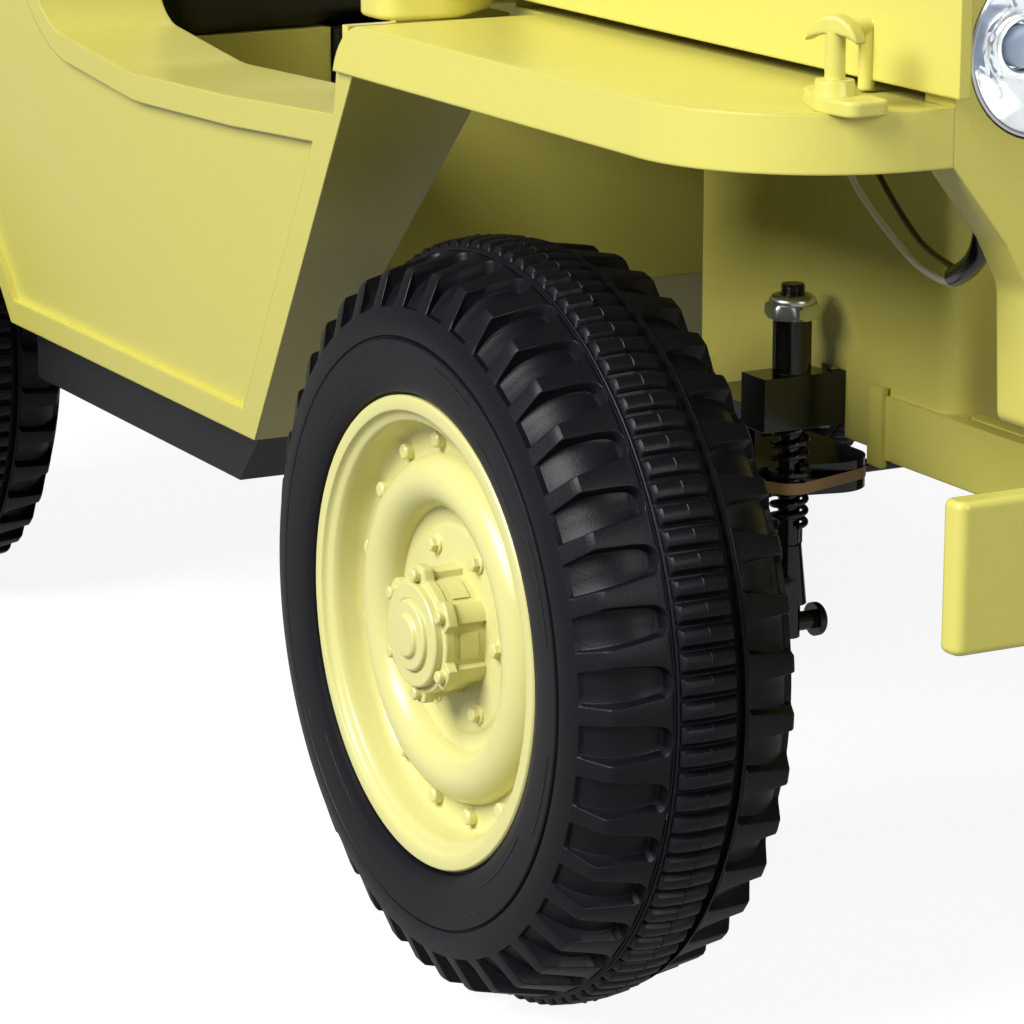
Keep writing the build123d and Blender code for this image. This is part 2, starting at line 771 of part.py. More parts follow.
def hood():
    """The hood: a shell open below and in front, with its latch hooks."""
    f = front_axle
    front, back = f + hood_ahead, cowl_x
    w = hood_half_width
    shell = box(back, front, -w, w, hood_bottom, hood_height)
    shell = fillet(shell.edges().filter_by(Axis.X).sort_by(Axis.Z)[-2:], 18)
    t = hood_wall
    core = box(back - 1, front + 1, -w + t, w - t, hood_bottom - 1, hood_height - t)
    core = fillet(core.edges().filter_by(Axis.X).sort_by(Axis.Z)[-2:], 14)
    shell -= core
    for side in (-1, 1):
        y0, y1 = sorted((side * 119, side * 141))
        shell += box(hinge_x, hinge_x + hinge_leaf, y0, y1, hood_height - 1, hood_height + 2.5)
    for barrel in hinge_part(119, 141, hinge_radius):
        shell += barrel
    clearances = hinge_part(99, 119, hinge_radius + 1) + hinge_part(141, 161, hinge_radius + 1)
    for space in clearances + hinge_part(99, 161, hinge_pin_radius + running_gap):
        shell -= space
    hook_x = f + hook_ahead
    for side in (-1, 1):
        rib_y, tip_y = side * (w + 0.5), side * (w + hook_reach)
        shell += rod((hook_x, rib_y, fender_height + 1), (hook_x, rib_y, hook_height - 1), hook_radius)
        shell += rod((hook_x, side * (w - 1), hook_height), (hook_x, tip_y, hook_height), hook_radius)
    return shell


def latch():
    """The right hood latch: curved foot, conical collar, post and drooping T-shaped handle."""
    x, y, z = front_axle + latch_ahead, -half_track, fender_height
    outline = rounded([(x - 23, y + 9), (x - 18, y), (x + 2, y - 8), (x + 17, y - 5), (x + 17, y + 9)],
                      [3, 9, 20, 4, 3])
    foot = flat_plate(outline, z, z + 4.5)
    foot = fillet(foot.edges().group_by(Axis.Z)[-1], 1)
    piece = foot + Pos(x, y, z + 6.5) * Cone(6.6, 5.8, 5)
    piece += rod((x, y, z + 6), (x, y, z + 25), 3.1)
    crescent = make_face([ThreePointArc((-9, 20), (0, 28), (9, 20)), ThreePointArc((9, 20), (0, 22.5), (-9, 20))])
    handle = extrude(Plane.XZ * crescent, amount=3, both=True)
    handle = fillet(handle.faces().filter_by(Axis.Y).edges(), 1)
    return piece + Pos(x, y, z) * Rot(0, 0, 25) * handle


def lamp_bowl():
    """The right headlamp's reflector and its socket."""
    front = front_axle + fender_ahead
    outline = polygon((0, -30), (10, -30), (10, -18), (lamp_radius - 0.2, -9), (lamp_radius - 0.2, -3),
                      (lamp_radius - 2, -3), (8, -15), (0, -15))
    bowl = revolve(Plane.XY * outline, axis=Axis.Y)
    place = Location((front, -lamp_half_spacing, lamp_height), (0, 0, -90))
    return place * bowl


def lamp_lens():
    """The right headlamp's clear front."""
    front = front_axle + fender_ahead
    y = -lamp_half_spacing
    return rod((front - 3, y, lamp_height), (front - 0.5, y, lamp_height), lamp_radius - 0.2)


def bumper():
    """The front bumper bar."""
    front = front_axle + bumper_ahead
    w = bumper_half_width
    bar = box(front - bumper_depth, front, -w, w, bumper_bottom, bumper_bottom + bumper_height)
    bar = fillet(bar.edges().filter_by(Axis.Z), bumper_edge)
    return fillet(bar.edges().group_by(Axis.X)[-1], bumper_edge * 0.6)


# Windscreen and cabin

def windscreen():
    """The fixed windscreen frame with its centre bar."""
    x0 = dash_x + screen_setback
    x1 = x0 + screen_thickness
    w, b = screen_half_width, screen_bar
    top = cowl_top + screen_height
    outer = rounded([(-w, cowl_top), (w, cowl_top), (w, top), (-w, top)], [0, 0, 16, 16])
    frame = cross_plate(outer, x0, x1)
    for side in (-1, 1):
        y0, y1 = sorted((side * b / 2, side * (w - b)))
        frame -= box(x0 - 1, x1 + 1, y0, y1, cowl_top + b, top - b)
    return frame


def windscreen_glass():
    """Two clear panes inside the frame."""
    middle = dash_x + screen_setback + screen_thickness / 2
    x0, x1 = middle - glass_thickness / 2, middle + glass_thickness / 2
    w, b = screen_half_width, screen_bar
    top = cowl_top + screen_height
    pane = box(x0, x1, -(w - b), -b / 2, cowl_top + b, top - b)
    return both_sides(pane)


def dashboard():
    """The instrument board across the back of the cowl."""
    w = cowl_half_width
    board = box(dash_x - 5, dash_x, -w, w, fender_height + 6, cowl_top - 2)
    x0 = dash_x - 7
    dial_z = (fender_height + cowl_top) / 2
    for y in (-26, 26):
        board += rod((x0, y, dial_z), (dash_x - 4, y, dial_z), 17)
    return board


def column_axis():
    """Foot and head of the steering column, which leans back to the driver."""
    foot = Vector(dash_x - 5, steering_wheel_y, fender_height + column_foot_rise)
    return foot, foot + Vector(-column_reach, 0, column_rise)


def steering_column():
    """The fixed jacket of the steering column."""
    foot, head = column_axis()
    jacket = rod(tuple(foot - (head - foot) * 0.1), tuple(head), column_radius)
    board = foot.X
    return jacket - box(board, board + column_reach, -half_track, half_track, 0, cowl_top)


def steering_wheel():
    """Rim, three spokes and boss, square to the column."""
    foot, head = column_axis()
    out = (head - foot).normalized()
    centre = head + out * 8
    plane = Plane(origin=centre, x_dir=(0, 1, 0), z_dir=out)
    wheel = plane.location * Torus(steering_wheel_radius - steering_wheel_tube, steering_wheel_tube)
    boss_base = Plane(origin=head + out * 0.6, x_dir=(0, 1, 0), z_dir=out)
    wheel += extrude(boss_base * Circle(19), amount=16)
    for angle in (90, 210, 330):
        turn = math.radians(angle)
        reach = steering_wheel_radius - steering_wheel_tube
        end = centre + (plane.x_dir * math.cos(turn) + plane.y_dir * math.sin(turn)) * reach
        wheel += rod(tuple(centre), tuple(end), 5)
    return wheel


def seat_cushion():
    """The right seat's cushion."""
    front = front_axle + seat_front_ahead
    pad = box(front - seat_length, front, -seat_outer, -seat_inner, seat_base_top, seat_base_top + cushion_thickness)
    pad = fillet(pad.edges().filter_by(Axis.Y).sort_by(Axis.X)[-2:], 10)
    return fillet(pad.edges().filter_by(Axis.Z), 9)


def backrest():
    """The right seat's back."""
    front = front_axle + seat_front_ahead - seat_length + 28
    z0 = seat_base_top + cushion_thickness + 0.4
    outline = rounded([(-seat_outer, z0), (-seat_inner, z0), (-seat_inner, backrest_top),
                       (-seat_outer, backrest_top)], [6, 6, 26, 26])
    return cross_plate(outline, front - backrest_thickness, front)


def console():
    """The black console between the seats, with the drive lever."""
    front = front_axle + seat_front_ahead - 4
    back = front_axle + riser_ahead
    w = console_half_width
    body = box(back, front, -w, w, tub_bottom + tub_wall, seat_base_top)
    body += box(back - seat_length * 0.6, back, -w, w, bed_height + tub_wall, seat_base_top)
    lever = rod((front - 6, 0, seat_base_top - 2), (front + 4, 0, seat_base_top + 46), 4)
    knob = Pos(front + 4, 0, seat_base_top + 48) * Sphere(9)
    return body + lever + knob


# Tail

def spare_bracket():
    """The post on the tail that holds the spare wheel."""
    plate = box(tail_x - 6, tail_x, spare_y - 40, spare_y + 40, spare_height - 40, spare_height + 40)
    end = tail_x - spare_gap - spare_width / 2 - 6
    return plate + rod((tail_x, spare_y, spare_height), (end, spare_y, spare_height), 12)


def spare_tyre():
    """The spare tyre on the tail."""
    wheel = tyre_body(spare_radius, spare_width, spare_bore, spare_bore + 2.4)
    centre = tail_x - spare_gap - spare_width / 2
    return Location((centre, spare_y, spare_height), (0, 0, -90)) * wheel


def spare_rim():
    """The spare wheel's disc."""
    bore = spare_bore
    points = [(bore, -22), (bore, 24), (bore - 6, 24), (bore - 10, 4), (30, 4), (24, 12), (12.35, 12),
              (12.35, -4), (bore - 12, -4), (bore - 8, -22)]
    disc = turned(points, 0, 0, 0)
    centre = tail_x - spare_gap - spare_width / 2
    return Location((centre, spare_y, spare_height), (0, 0, -90)) * disc


def can_shelf():
    """The small rack that holds the can."""
    w = can_width / 2 + 4
    x0 = tail_x - can_depth - 8
    rack = box(x0, tail_x, can_y - w, can_y + w, bed_height, bed_height + 4)
    rack += box(x0, x0 + 4, can_y - w, can_y + w, bed_height, bed_height + 40)
    for side in (-1, 1):
        y = can_y + side * (w - 2)
        rack += box(x0, tail_x, y - 2, y + 2, bed_height, bed_height + 40)
    return rack


def can():
    """The flat-sided fuel can, a moulded dummy."""
    z0 = bed_height + 4
    w = can_width / 2 - 1
    x1 = tail_x - 2
    body = box(x1 - can_depth + 2, x1, can_y - w, can_y + w, z0, z0 + can_height)
    body = fillet(body.edges().filter_by(Axis.X), 9)
    body += rod((x1 - can_depth / 2, can_y - w + 16, z0 + can_height - 2),
                (x1 - can_depth / 2, can_y - w + 16, z0 + can_height + 8), 10)
    handle_z = z0 + can_height + 9
    for y in (can_y - 6, can_y + w - 12):
        body += box(x1 - can_depth / 2 - 3, x1 - can_depth / 2 + 3, y - 3, y + 3, z0 + can_height - 3, handle_z)
    body += box(x1 - can_depth / 2 - 3, x1 - can_depth / 2 + 3, can_y - 9, can_y + w - 9, handle_z - 3, handle_z + 3)
    return body


def tail_lamp():
    """The right tail lamp."""
    y, z = tail_lamp_y, tail_lamp_height
    return rod((tail_x, y, z), (tail_x - 12, y, z), tail_lamp_radius)


def bumperette():
    """The right rear bumper bar."""
    bar = box(tail_x - 16, tail_x, -236, -150, tub_bottom + 6, tub_bottom + 6 + bumper_height)
    return fillet(bar.edges().filter_by(Axis.Z), 4)


# Lamp wiring on the right, behind the fender lip

def cord_path(points):
    """Straight runs with an arc at each corner, as large as the runs allow."""
    corners = [Vector(*point) for point in points]
    radii = []
    for before, here, after in zip(corners, corners[1:], corners[2:]):
        arriving, leaving = here - before, after - here
        turn = math.radians(arriving.get_angle(leaving))
        radii.append(0.45 * min(arriving.length, leaving.length) / math.tan(turn / 2))
    print("cord radii", [round(radius, 1) for radius in radii])
    return FilletPolyline(*corners, radius=radii)


def wire(points, radius):
    """A thin round lead along a route measured from the front axle and the wheel."""
    route = [(front_axle + ahead, -half_track + inboard, hub_height + up) for ahead, inboard, up in points]
    path = cord_path(route)
    tube = sweep(Plane(origin=path @ 0, z_dir=path % 0) * Circle(radius), path=path)
    wall = bay_half_width + 0.05
    tube -= box(front_axle - bay_behind, front_axle + bay_ahead, -wall, wall, 0, fender_height)
    print("cord length", round(path.length, 1), "volume ratio",
          round(tube.volume / (math.pi * radius**2 * path.length), 4))
    return tube


white_route = [(5, 131.5, 172.5), (16, 117, 167), (45, 106, 154), (85, 96, 142), (122, 86, 135.5), (148.8, 77, 138.5)]
black_route = [(15, 131.5, 181.6), (27, 118, 175), (55, 108, 161), (90, 98, 148), (120, 88, 142.5), (148.6, 79, 143)]
lead_route = [(149.6, 78, 140.8), (174, 71, 149), (183, 66, 172), (183, 65, 209)]


def wheel_set(name, x, side, tyre):
    """Tyre, rim and hub cap of one wheel."""
    pieces = {
        "tyre": Pos(x, -half_track, hub_height) * tyre,
        "rim": rim(x, -half_track, hub_height),
        "hub_cap": hub_cap(x, -half_track, hub_height),
    }
    for kind, piece in pieces.items():
        save(f"{kind}_{name}", piece if side == "right" else mirrored(piece))


road_tyre = tyre_body(tyre_radius, tyre_width, tyre_bore_radius, rim_lip_radius + 1)
road_tyre -= tread_notches(tyre_radius)
for end, x in (("front", front_axle), ("rear", rear_axle)):
    for side in ("right", "left"):
        wheel_set(f"{end}_{side}", x, side, road_tyre)

knuckle = stub(front_axle)
nut = pivot_nut(front_axle)
save("knuckle_right", knuckle)
save("knuckle_left", mirrored(knuckle))
save("pivot_nut_right", nut)
save("pivot_nut_left", mirrored(nut))
save("front_frame", front_frame())
save("spring_plates", both_sides(spring_plate()))
save("front_springs", springs())
save("tie_rod", tie_rod())
save("rear_axle", rear_axle_beam())
save("gearboxes", both_sides(gearbox()))
save("rear_frame", rear_frame())
save("floor_tray", tray())
save("tub", tub())
save("cowl", cowl())
save("front_fenders", both_sides(fender()))
save("engine_bay", engine_bay())
save("battery", battery())
save("grille_panel", grille_panel())
save("hood", hood())
save("hood_latches", both_sides(latch()))
save("headlamp_bowls", both_sides(lamp_bowl()))
save("headlamp_lenses", both_sides(lamp_lens()))
save("front_bumper", bumper())
save("windscreen_frame", windscreen())
save("windscreen_glass", windscreen_glass())
save("dashboard", dashboard())
save("steering_column", steering_column())
save("steering_wheel", steering_wheel())
save("seat_cushions", both_sides(seat_cushion()))
save("seat_backs", both_sides(backrest()))
save("console", console())
save("spare_bracket", spare_bracket())
save("spare_tyre", spare_tyre())
save("spare_rim", spare_rim())
save("can_rack", can_shelf())
save("fuel_can", can())
save("tail_lamps", both_sides(tail_lamp()))
save("rear_bumperettes", both_sides(bumperette()))
for cord, route, radius in (("lamp_wire_white", white_route, 1.2), ("lamp_wire_black", black_route, 1.1),
                            ("lamp_lead", lead_route, 3.5)):
    tube = wire(route, radius)
    save(f"{cord}_right", tube)
    save(f"{cord}_left", mirrored(tube))
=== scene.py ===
import json
import math
import random

import bpy
from mathutils import Matrix, Vector


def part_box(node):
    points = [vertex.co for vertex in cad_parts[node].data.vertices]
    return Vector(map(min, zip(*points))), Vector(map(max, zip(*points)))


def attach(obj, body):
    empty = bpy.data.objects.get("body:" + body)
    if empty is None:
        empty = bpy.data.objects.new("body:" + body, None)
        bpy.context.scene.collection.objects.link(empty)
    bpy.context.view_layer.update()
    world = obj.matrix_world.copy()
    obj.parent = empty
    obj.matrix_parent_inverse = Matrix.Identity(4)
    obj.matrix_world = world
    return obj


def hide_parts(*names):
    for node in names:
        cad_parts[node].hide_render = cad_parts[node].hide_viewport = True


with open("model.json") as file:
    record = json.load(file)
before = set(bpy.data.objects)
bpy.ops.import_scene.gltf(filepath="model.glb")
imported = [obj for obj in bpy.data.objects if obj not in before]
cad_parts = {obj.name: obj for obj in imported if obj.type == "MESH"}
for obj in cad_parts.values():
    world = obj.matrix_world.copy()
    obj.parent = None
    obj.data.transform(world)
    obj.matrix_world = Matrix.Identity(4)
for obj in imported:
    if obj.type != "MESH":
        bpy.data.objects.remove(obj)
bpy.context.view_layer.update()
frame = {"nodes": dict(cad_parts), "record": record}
random.seed(4)

MM = 0.001
SIDES = (("right", -1), ("left", 1))
FRONT_AXLE = 328.0
REAR_AXLE = -312.0
HALF_TRACK = 250.0
HUB_HEIGHT = 135.0
KINGPIN_Y = 138.0
NUT_FOOT = 232.3
PLATE_TOP = 176.5
BOARD_LOW = 168.9
BOARD_HIGH = 173.1
LAMP_FACE = 540.0
LAMP_Y = 185.0
LAMP_Z = 356.0
DASH_FACE = 145.0
DIAL_Y = 26.0
DIAL_Z = 378.5
TAIL = -502.0
TAIL_LAMP_Y = 262.0
TAIL_LAMP_Z = 250.0
CAN_DEPTH = 46.0
CAN_Y = 140.0
CAN_Z = 300.0
SPARE_AT = (-548.0, -70.0, 300.0)
SPARE_RADIUS = 118.0
SPARE_NARROWING = 0.6


# Materials

def material(name):
    """A new node material and its main shader."""
    mat = bpy.data.materials.new(name)
    mat.use_nodes = True
    return mat, mat.node_tree.nodes["Principled BSDF"]


def noise(mat, scale, detail, distortion=0.0):
    """A noise texture in object space."""
    tree = mat.node_tree
    coords = tree.nodes.new("ShaderNodeTexCoord")
    texture = tree.nodes.new("ShaderNodeTexNoise")
    texture.inputs["Scale"].default_value = scale
    texture.inputs["Detail"].default_value = detail
    texture.inputs["Distortion"].default_value = distortion
    tree.links.new(coords.outputs["Object"], texture.inputs["Vector"])
    return texture


def spread(mat, source, low, high):
    """The middle part of a 0 to 1 source, stretched to low to high."""
    node = mat.node_tree.nodes.new("ShaderNodeMapRange")
    node.inputs["From Min"].default_value = 0.3
    node.inputs["From Max"].default_value = 0.7
    node.inputs["To Min"].default_value = low
    node.inputs["To Max"].default_value = high
    mat.node_tree.links.new(source, node.inputs["Value"])
    return node.outputs["Result"]


def bump(mat, shader, source, strength, distance, edge_radius):
    """Fine relief, with softened edges where the radius isn't zero."""
    tree = mat.node_tree
    node = tree.nodes.new("ShaderNodeBump")
    node.inputs["Strength"].default_value = strength
    node.inputs["Distance"].default_value = distance
    tree.links.new(source, node.inputs["Height"])
    if edge_radius:
        edge = tree.nodes.new("ShaderNodeBevel")
        edge.samples = 4
        edge.inputs["Radius"].default_value = edge_radius
        tree.links.new(edge.outputs["Normal"], node.inputs["Normal"])
    tree.links.new(node.outputs["Normal"], shader.inputs["Normal"])


def moulded(name, colour, rough, edge_radius=0.0, grain=0.05, shine=0.5):
    """Moulded plastic with slight flow marks in its sheen."""
    mat, shader = material(name)
    shader.inputs["Base Color"].default_value = (*colour, 1)
    shader.inputs["Specular IOR Level"].default_value = shine
    cloud = noise(mat, scale=9, detail=3, distortion=0.6)
    roughness = spread(mat, cloud.outputs["Fac"], rough - 0.04, rough + 0.05)
    mat.node_tree.links.new(roughness, shader.inputs["Roughness"])
    skin = noise(mat, scale=900, detail=2)
    bump(mat, shader, skin.outputs["Fac"], grain, 0.0004, edge_radius)
    return mat


def metal(name, colour, rough):
    """Plain metal with a faint variation in its polish."""
    mat, shader = material(name)
    shader.inputs["Base Color"].default_value = (*colour, 1)
    shader.inputs["Metallic"].default_value = 1
    cloud = noise(mat, scale=60, detail=4)
    roughness = spread(mat, cloud.outputs["Fac"], rough - 0.05, rough + 0.08)
    mat.node_tree.links.new(roughness, shader.inputs["Roughness"])
    return mat


def clear(name):
    """Clear moulded plastic."""
    mat, shader = material(name)
    shader.inputs["Base Color"].default_value = (0.96, 0.98, 0.97, 1)
    shader.inputs["Roughness"].default_value = 0.03
    shader.inputs["Transmission Weight"].default_value = 1
    shader.inputs["IOR"].default_value = 1.3
    return mat


body_paint = moulded("body_plastic", (0.63, 0.58, 0.125), 0.30, edge_radius=0.0012)
wheel_paint = moulded("wheel_plastic", (0.66, 0.63, 0.25), 0.25, edge_radius=0.0006)
rubber = moulded("tyre_plastic", (0.0042, 0.0042, 0.0066), 0.42, grain=0.2, shine=0.2)
black = moulded("black_plastic", (0.0075, 0.0075, 0.0095), 0.45, edge_radius=0.001, grain=0.15, shine=0.3)
gloss_black = moulded("gloss_black", (0.004, 0.004, 0.005), 0.16, edge_radius=0.0005)
seat_cover = moulded("seat_cover", (0.012, 0.012, 0.013), 0.55, edge_radius=0.002, grain=0.5)
red = moulded("red_plastic", (0.45, 0.01, 0.01), 0.2)
white_sleeve = moulded("white_sleeve", (0.85, 0.83, 0.76), 0.35)
tan_board = moulded("tan_board", (0.55, 0.36, 0.16), 0.5)
zinc = metal("zinc", (0.62, 0.64, 0.62), 0.26)
chrome = metal("chrome", (0.82, 0.83, 0.85), 0.12)
glass = clear("clear_plastic")
dial_white = moulded("dial_white", (0.75, 0.75, 0.72), 0.4)
bulb_glass = moulded("bulb_glass", (0.30, 0.38, 0.52), 0.06)

SLOT_LOOKS = {
    "body_green": body_paint,
    "wheel_green": wheel_paint,
    "tyre_rubber": rubber,
    "black_plastic": black,
    "black_gloss": gloss_black,
    "dark_steel": gloss_black,
    "zinc_steel": zinc,
    "reflector": chrome,
    "clear": glass,
    "seat_black": seat_cover,
    "wire_white": white_sleeve,
    "wire_black": gloss_black,
    "lamp_red": red,
}


def dress_frame():
    """Every CAD node takes the look of its material slot, and the front springs a dark gloss."""
    for part in frame["record"]["subparts"]:
        node = frame["nodes"][part["node"]]
        look = gloss_black if part["node"] == "front_springs" else SLOT_LOOKS[part["material_slot"]]
        node.data.materials.clear()
        node.data.materials.append(look)


# Mesh helpers. Points are in millimetres, with Y inboard on the right side.

def mesh_piece(name, points, faces, look, smooth_angle):
    """A mesh with smooth faces and sharp edges over an angle in degrees."""
    mesh = bpy.data.meshes.new(name)
    mesh.from_pydata([(x * MM, y * MM, z * MM) for x, y, z in points], [], faces)
    mesh.materials.append(look)
    mesh.shade_smooth()
    mesh.set_sharp_from_angle(angle=math.radians(smooth_angle))
    return mesh


def place(name, mesh, body, at=(0, 0, 0), turn=0.0, stands_for=()):
    """An object with that mesh, riding on a body."""
    piece = bpy.data.objects.new(name, mesh)
    bpy.context.scene.collection.objects.link(piece)
    piece.location = [value * MM for value in at]
    piece.rotation_euler = (0, 0, turn)
    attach(piece, body)
    if stands_for:
        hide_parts(*stands_for)


def ring_grid(rows, columns, close_rows=False):
    """Quads over a grid that is closed along its columns."""
    faces = []
    last = rows if close_rows else rows - 1
    for row in range(last):
        below = (row + 1) % rows
        for column in range(columns):
            beside = (column + 1) % columns
            faces.append((row * columns + column, row * columns + beside,
                          below * columns + beside, below * columns + column))
    return faces


def lathe(profile, segments, closed=True):
    """Points and faces turned about Y from (radius, outboard) pairs."""
    points = []
    for radius, out in profile:
        for k in range(segments):
            turn = 2 * math.pi * k / segments
            points.append((radius * math.cos(turn), -out, radius * math.sin(turn)))
    return points, ring_grid(len(profile), segments, closed)


def forward(profile, segments):
    """Points and faces turned about X from (distance ahead, radius) pairs."""
    points = []
    for ahead, radius in profile:
        for k in range(segments):
            turn = 2 * math.pi * k / segments
            points.append((ahead, radius * math.cos(turn), radius * math.sin(turn)))
    return points, ring_grid(len(profile), segments)


def upright(profile, segments):
    """Points and faces turned about Z from (radius, height) pairs."""
    points = []
    for radius, height in profile:
        for k in range(segments):
            turn = 2 * math.pi * k / segments
            points.append((radius * math.cos(turn), radius * math.sin(turn), height))
    return points, turned_over(ring_grid(len(profile), segments))


def turned_over(faces):
    """The faces with their other side out."""
    return [face[::-1] for face in faces]


def merge(*shapes):
    """Several (points, faces) as one."""
    points, faces = [], []
    for more_points, more_faces in shapes:
        start = len(points)
        points += more_points
        faces += [tuple(start + k for k in face) for face in more_faces]
    return points, faces


def moved(shape, offset):
    """The shape at another place."""
    points, faces = shape
    return [(x + offset[0], y + offset[1], z + offset[2]) for x, y, z in points], faces


def stud(radius, height, sides, round_off):
    """A small upright peg along -Y with a rounded edge, its foot at zero."""
    rings = [(radius, -0.5), (radius, height - round_off), (radius - round_off, height), (0.01, height)]
    return lathe(rings, sides, closed=False)


def studs(count, ring_radius, face, start, shape):
    """A ring of pegs on a wheel's face, the first at a start angle in degrees."""
    pegs = []
    for k in range(count):
        turn = math.radians(start) + 2 * math.pi * k / count
        pegs.append(moved(shape, (ring_radius * math.cos(turn), -face, ring_radius * math.sin(turn))))
    return pegs


# Tyres

TYRE_RADIUS = 135.0
CROWN_DROP = 0.9
LUGS = 41
TYRE_SEGMENTS = 8 * LUGS
BARS = 104
BAR_HEIGHT = 2.9
NOTCH_TIP = 12.4
NOTCH_FULL = 15.8
NOTCH_MIDDLE = 0.33
EDGE_START = 0.9
EDGE_END = 0.25
KINK = 32.0
FOOT = 38.0
LEDGE = 36.0
CROWN_AT_TIP = 130.6
CROWN_AT_KINK = 126.0
FOOT_RADIUS = 113.5
FLOOR_RADIUS = 125.4
FLOOR_POWER = 2.7
INBOARD_OUT = 2.4
INBOARD_FULLER = 1.2
INBOARD_SLOPE = 0.09
INBOARD_FROM = 80.0
INBOARD_BLEND = 30.0
MARK_STEPS = 16
MARK_HALF = 0.35
OUTER_MARK = (98.5, 40.2)
INNER_MARK = (91.0, 39.7)


def between(value, knots):
    """Straight interpolation in (value, result) knots."""
    for (x0, y0), (x1, y1) in zip(knots, knots[1:]):
        if value <= x1:
            return y0 + (y1 - y0) * max(0, value - x0) / (x1 - x0)
    return knots[-1][1]


def lug_radius(across):
    """The lugs' outer radius: a gentle fall to the kink and a steep end face to the foot."""
    return between(across, [(NOTCH_TIP, CROWN_AT_TIP), (KINK - 0.7, CROWN_AT_KINK + 0.15),
                            (KINK + 0.5, CROWN_AT_KINK - 1.1), (FOOT, FOOT_RADIUS)])


def floor_radius(across):
    """The notches' floor, a smooth barrel that meets the sidewall at a narrow ledge."""
    share = min(1, max(0, across - NOTCH_TIP) / (LEDGE - NOTCH_TIP))
    return FLOOR_RADIUS - (FLOOR_RADIUS - FOOT_RADIUS) * share ** FLOOR_POWER


def notch_edges(across):
    """Where a notch starts and ends, as shares of the pitch between lugs."""
    upper = between(across, [(NOTCH_FULL, 0.06), (20, 0.03), (KINK, 0.0), (FOOT, 0.10)])
    lower = between(across, [(NOTCH_FULL, 0.57), (22, 0.63), (KINK, 0.71), (FOOT, 0.74)])
    if across < NOTCH_FULL:
        reach = (NOTCH_FULL - across) / (NOTCH_FULL - NOTCH_TIP)
        half = (lower - upper) / 2 * math.sqrt(max(0.04, 1 - reach ** 2))
        return NOTCH_MIDDLE - half, NOTCH_MIDDLE + half
    return upper, lower


def lug_row(across):
    """One row of (share, radius) across a pitch at a distance from the middle plane."""
    crest = lug_radius(across)
    full = max(0, crest - floor_radius(across))
    end = between(across, [(NOTCH_TIP, 0), (NOTCH_TIP + 0.3, 0.5), (NOTCH_TIP + 0.7, full - EDGE_START),
                           (NOTCH_TIP + 1, full - EDGE_END), (NOTCH_TIP + 1.5, full)])
    upper, lower = notch_edges(across)
    tight = min(1, (lower - upper) / 0.2)
    wall = [(-0.03, 0), (-0.008, 0.12), (0.005, 0.5), (0.02, full - EDGE_START), (0.034, full - EDGE_END),
            (0.06, full)]
    row = [(upper + step * tight, depth) for step, depth in wall]
    row += [(upper + (lower - upper) * 0.4, full), (upper + (lower - upper) * 0.6, full)]
    row += [(lower - step * tight, depth) for step, depth in reversed(wall)]
    return [(share, crest - max(0, min(depth, full, end))) for share, depth in row]


def inboard_half(shape):
    """The shape mirrored to the inboard side, where the shoulder stands a little fuller."""
    points, faces = shape
    result = []
    for x, y, z in points:
        radius = math.hypot(x, z)
        share = min(1, max(0, (radius - INBOARD_FROM) / INBOARD_BLEND))
        grown = 1 + share * (INBOARD_FULLER + INBOARD_SLOPE * max(0, -y - NOTCH_TIP)) / radius
        result.append((x * grown, -y + INBOARD_OUT * share, z * grown))
    return result, turned_over(faces)


def lug_band(shift):
    """The lugs on the outboard half of the tread, turned on by a share of their pitch."""
    pitch = 2 * math.pi / LUGS
    rows = [12.2, 12.4, 12.7, 13.1, 13.4, 13.9, 14.8, 15.8, 18, 20.5, 23, 25.5, 28, 30, 31.3, 32, 32.5,
            33.5, 34.6, 35.5, 36.0, 36.1, 37, 38.0]
    points = []
    for across in rows:
        shares = lug_row(across)
        for lug in range(LUGS):
            for share, radius in shares:
                turn = -(lug + share + shift) * pitch
                points.append((radius * math.cos(turn), -across, radius * math.sin(turn)))
    return points, ring_grid(len(rows), LUGS * len(shares))


def bar_band():
    """The rounded cross bars along the middle of the tread."""
    profile = [(0.0, 0.1), (0.06, 0.0), (0.14, 0.0), (0.19, 0.55), (0.28, 0.85), (0.42, 0.98), (0.56, 1.0),
               (0.70, 0.95), (0.82, 0.8), (0.9, 0.5), (0.95, 0.2)]
    rows = [(-10.8, 0), (-10.5, 0.0), (-10.2, 0.35), (-9.7, 0.8), (-9.0, 1), (-5, 1), (-0.25, 1), (0, 1.12),
            (0.25, 1), (5, 1), (9.0, 1), (9.7, 0.8), (10.2, 0.35), (10.5, 0.0), (13.2, 0)]
    points = []
    for across, full in rows:
        crown = TYRE_RADIUS - CROWN_DROP * (across / 10) ** 2
        for bar in range(BARS):
            for share, height in profile:
                radius = crown - BAR_HEIGHT * (1 - height * full)
                turn = -(bar + share) * 2 * math.pi / BARS
                points.append((radius * math.cos(turn), across, radius * math.sin(turn)))
    return points, turned_over(ring_grid(len(rows), BARS * len(profile)))


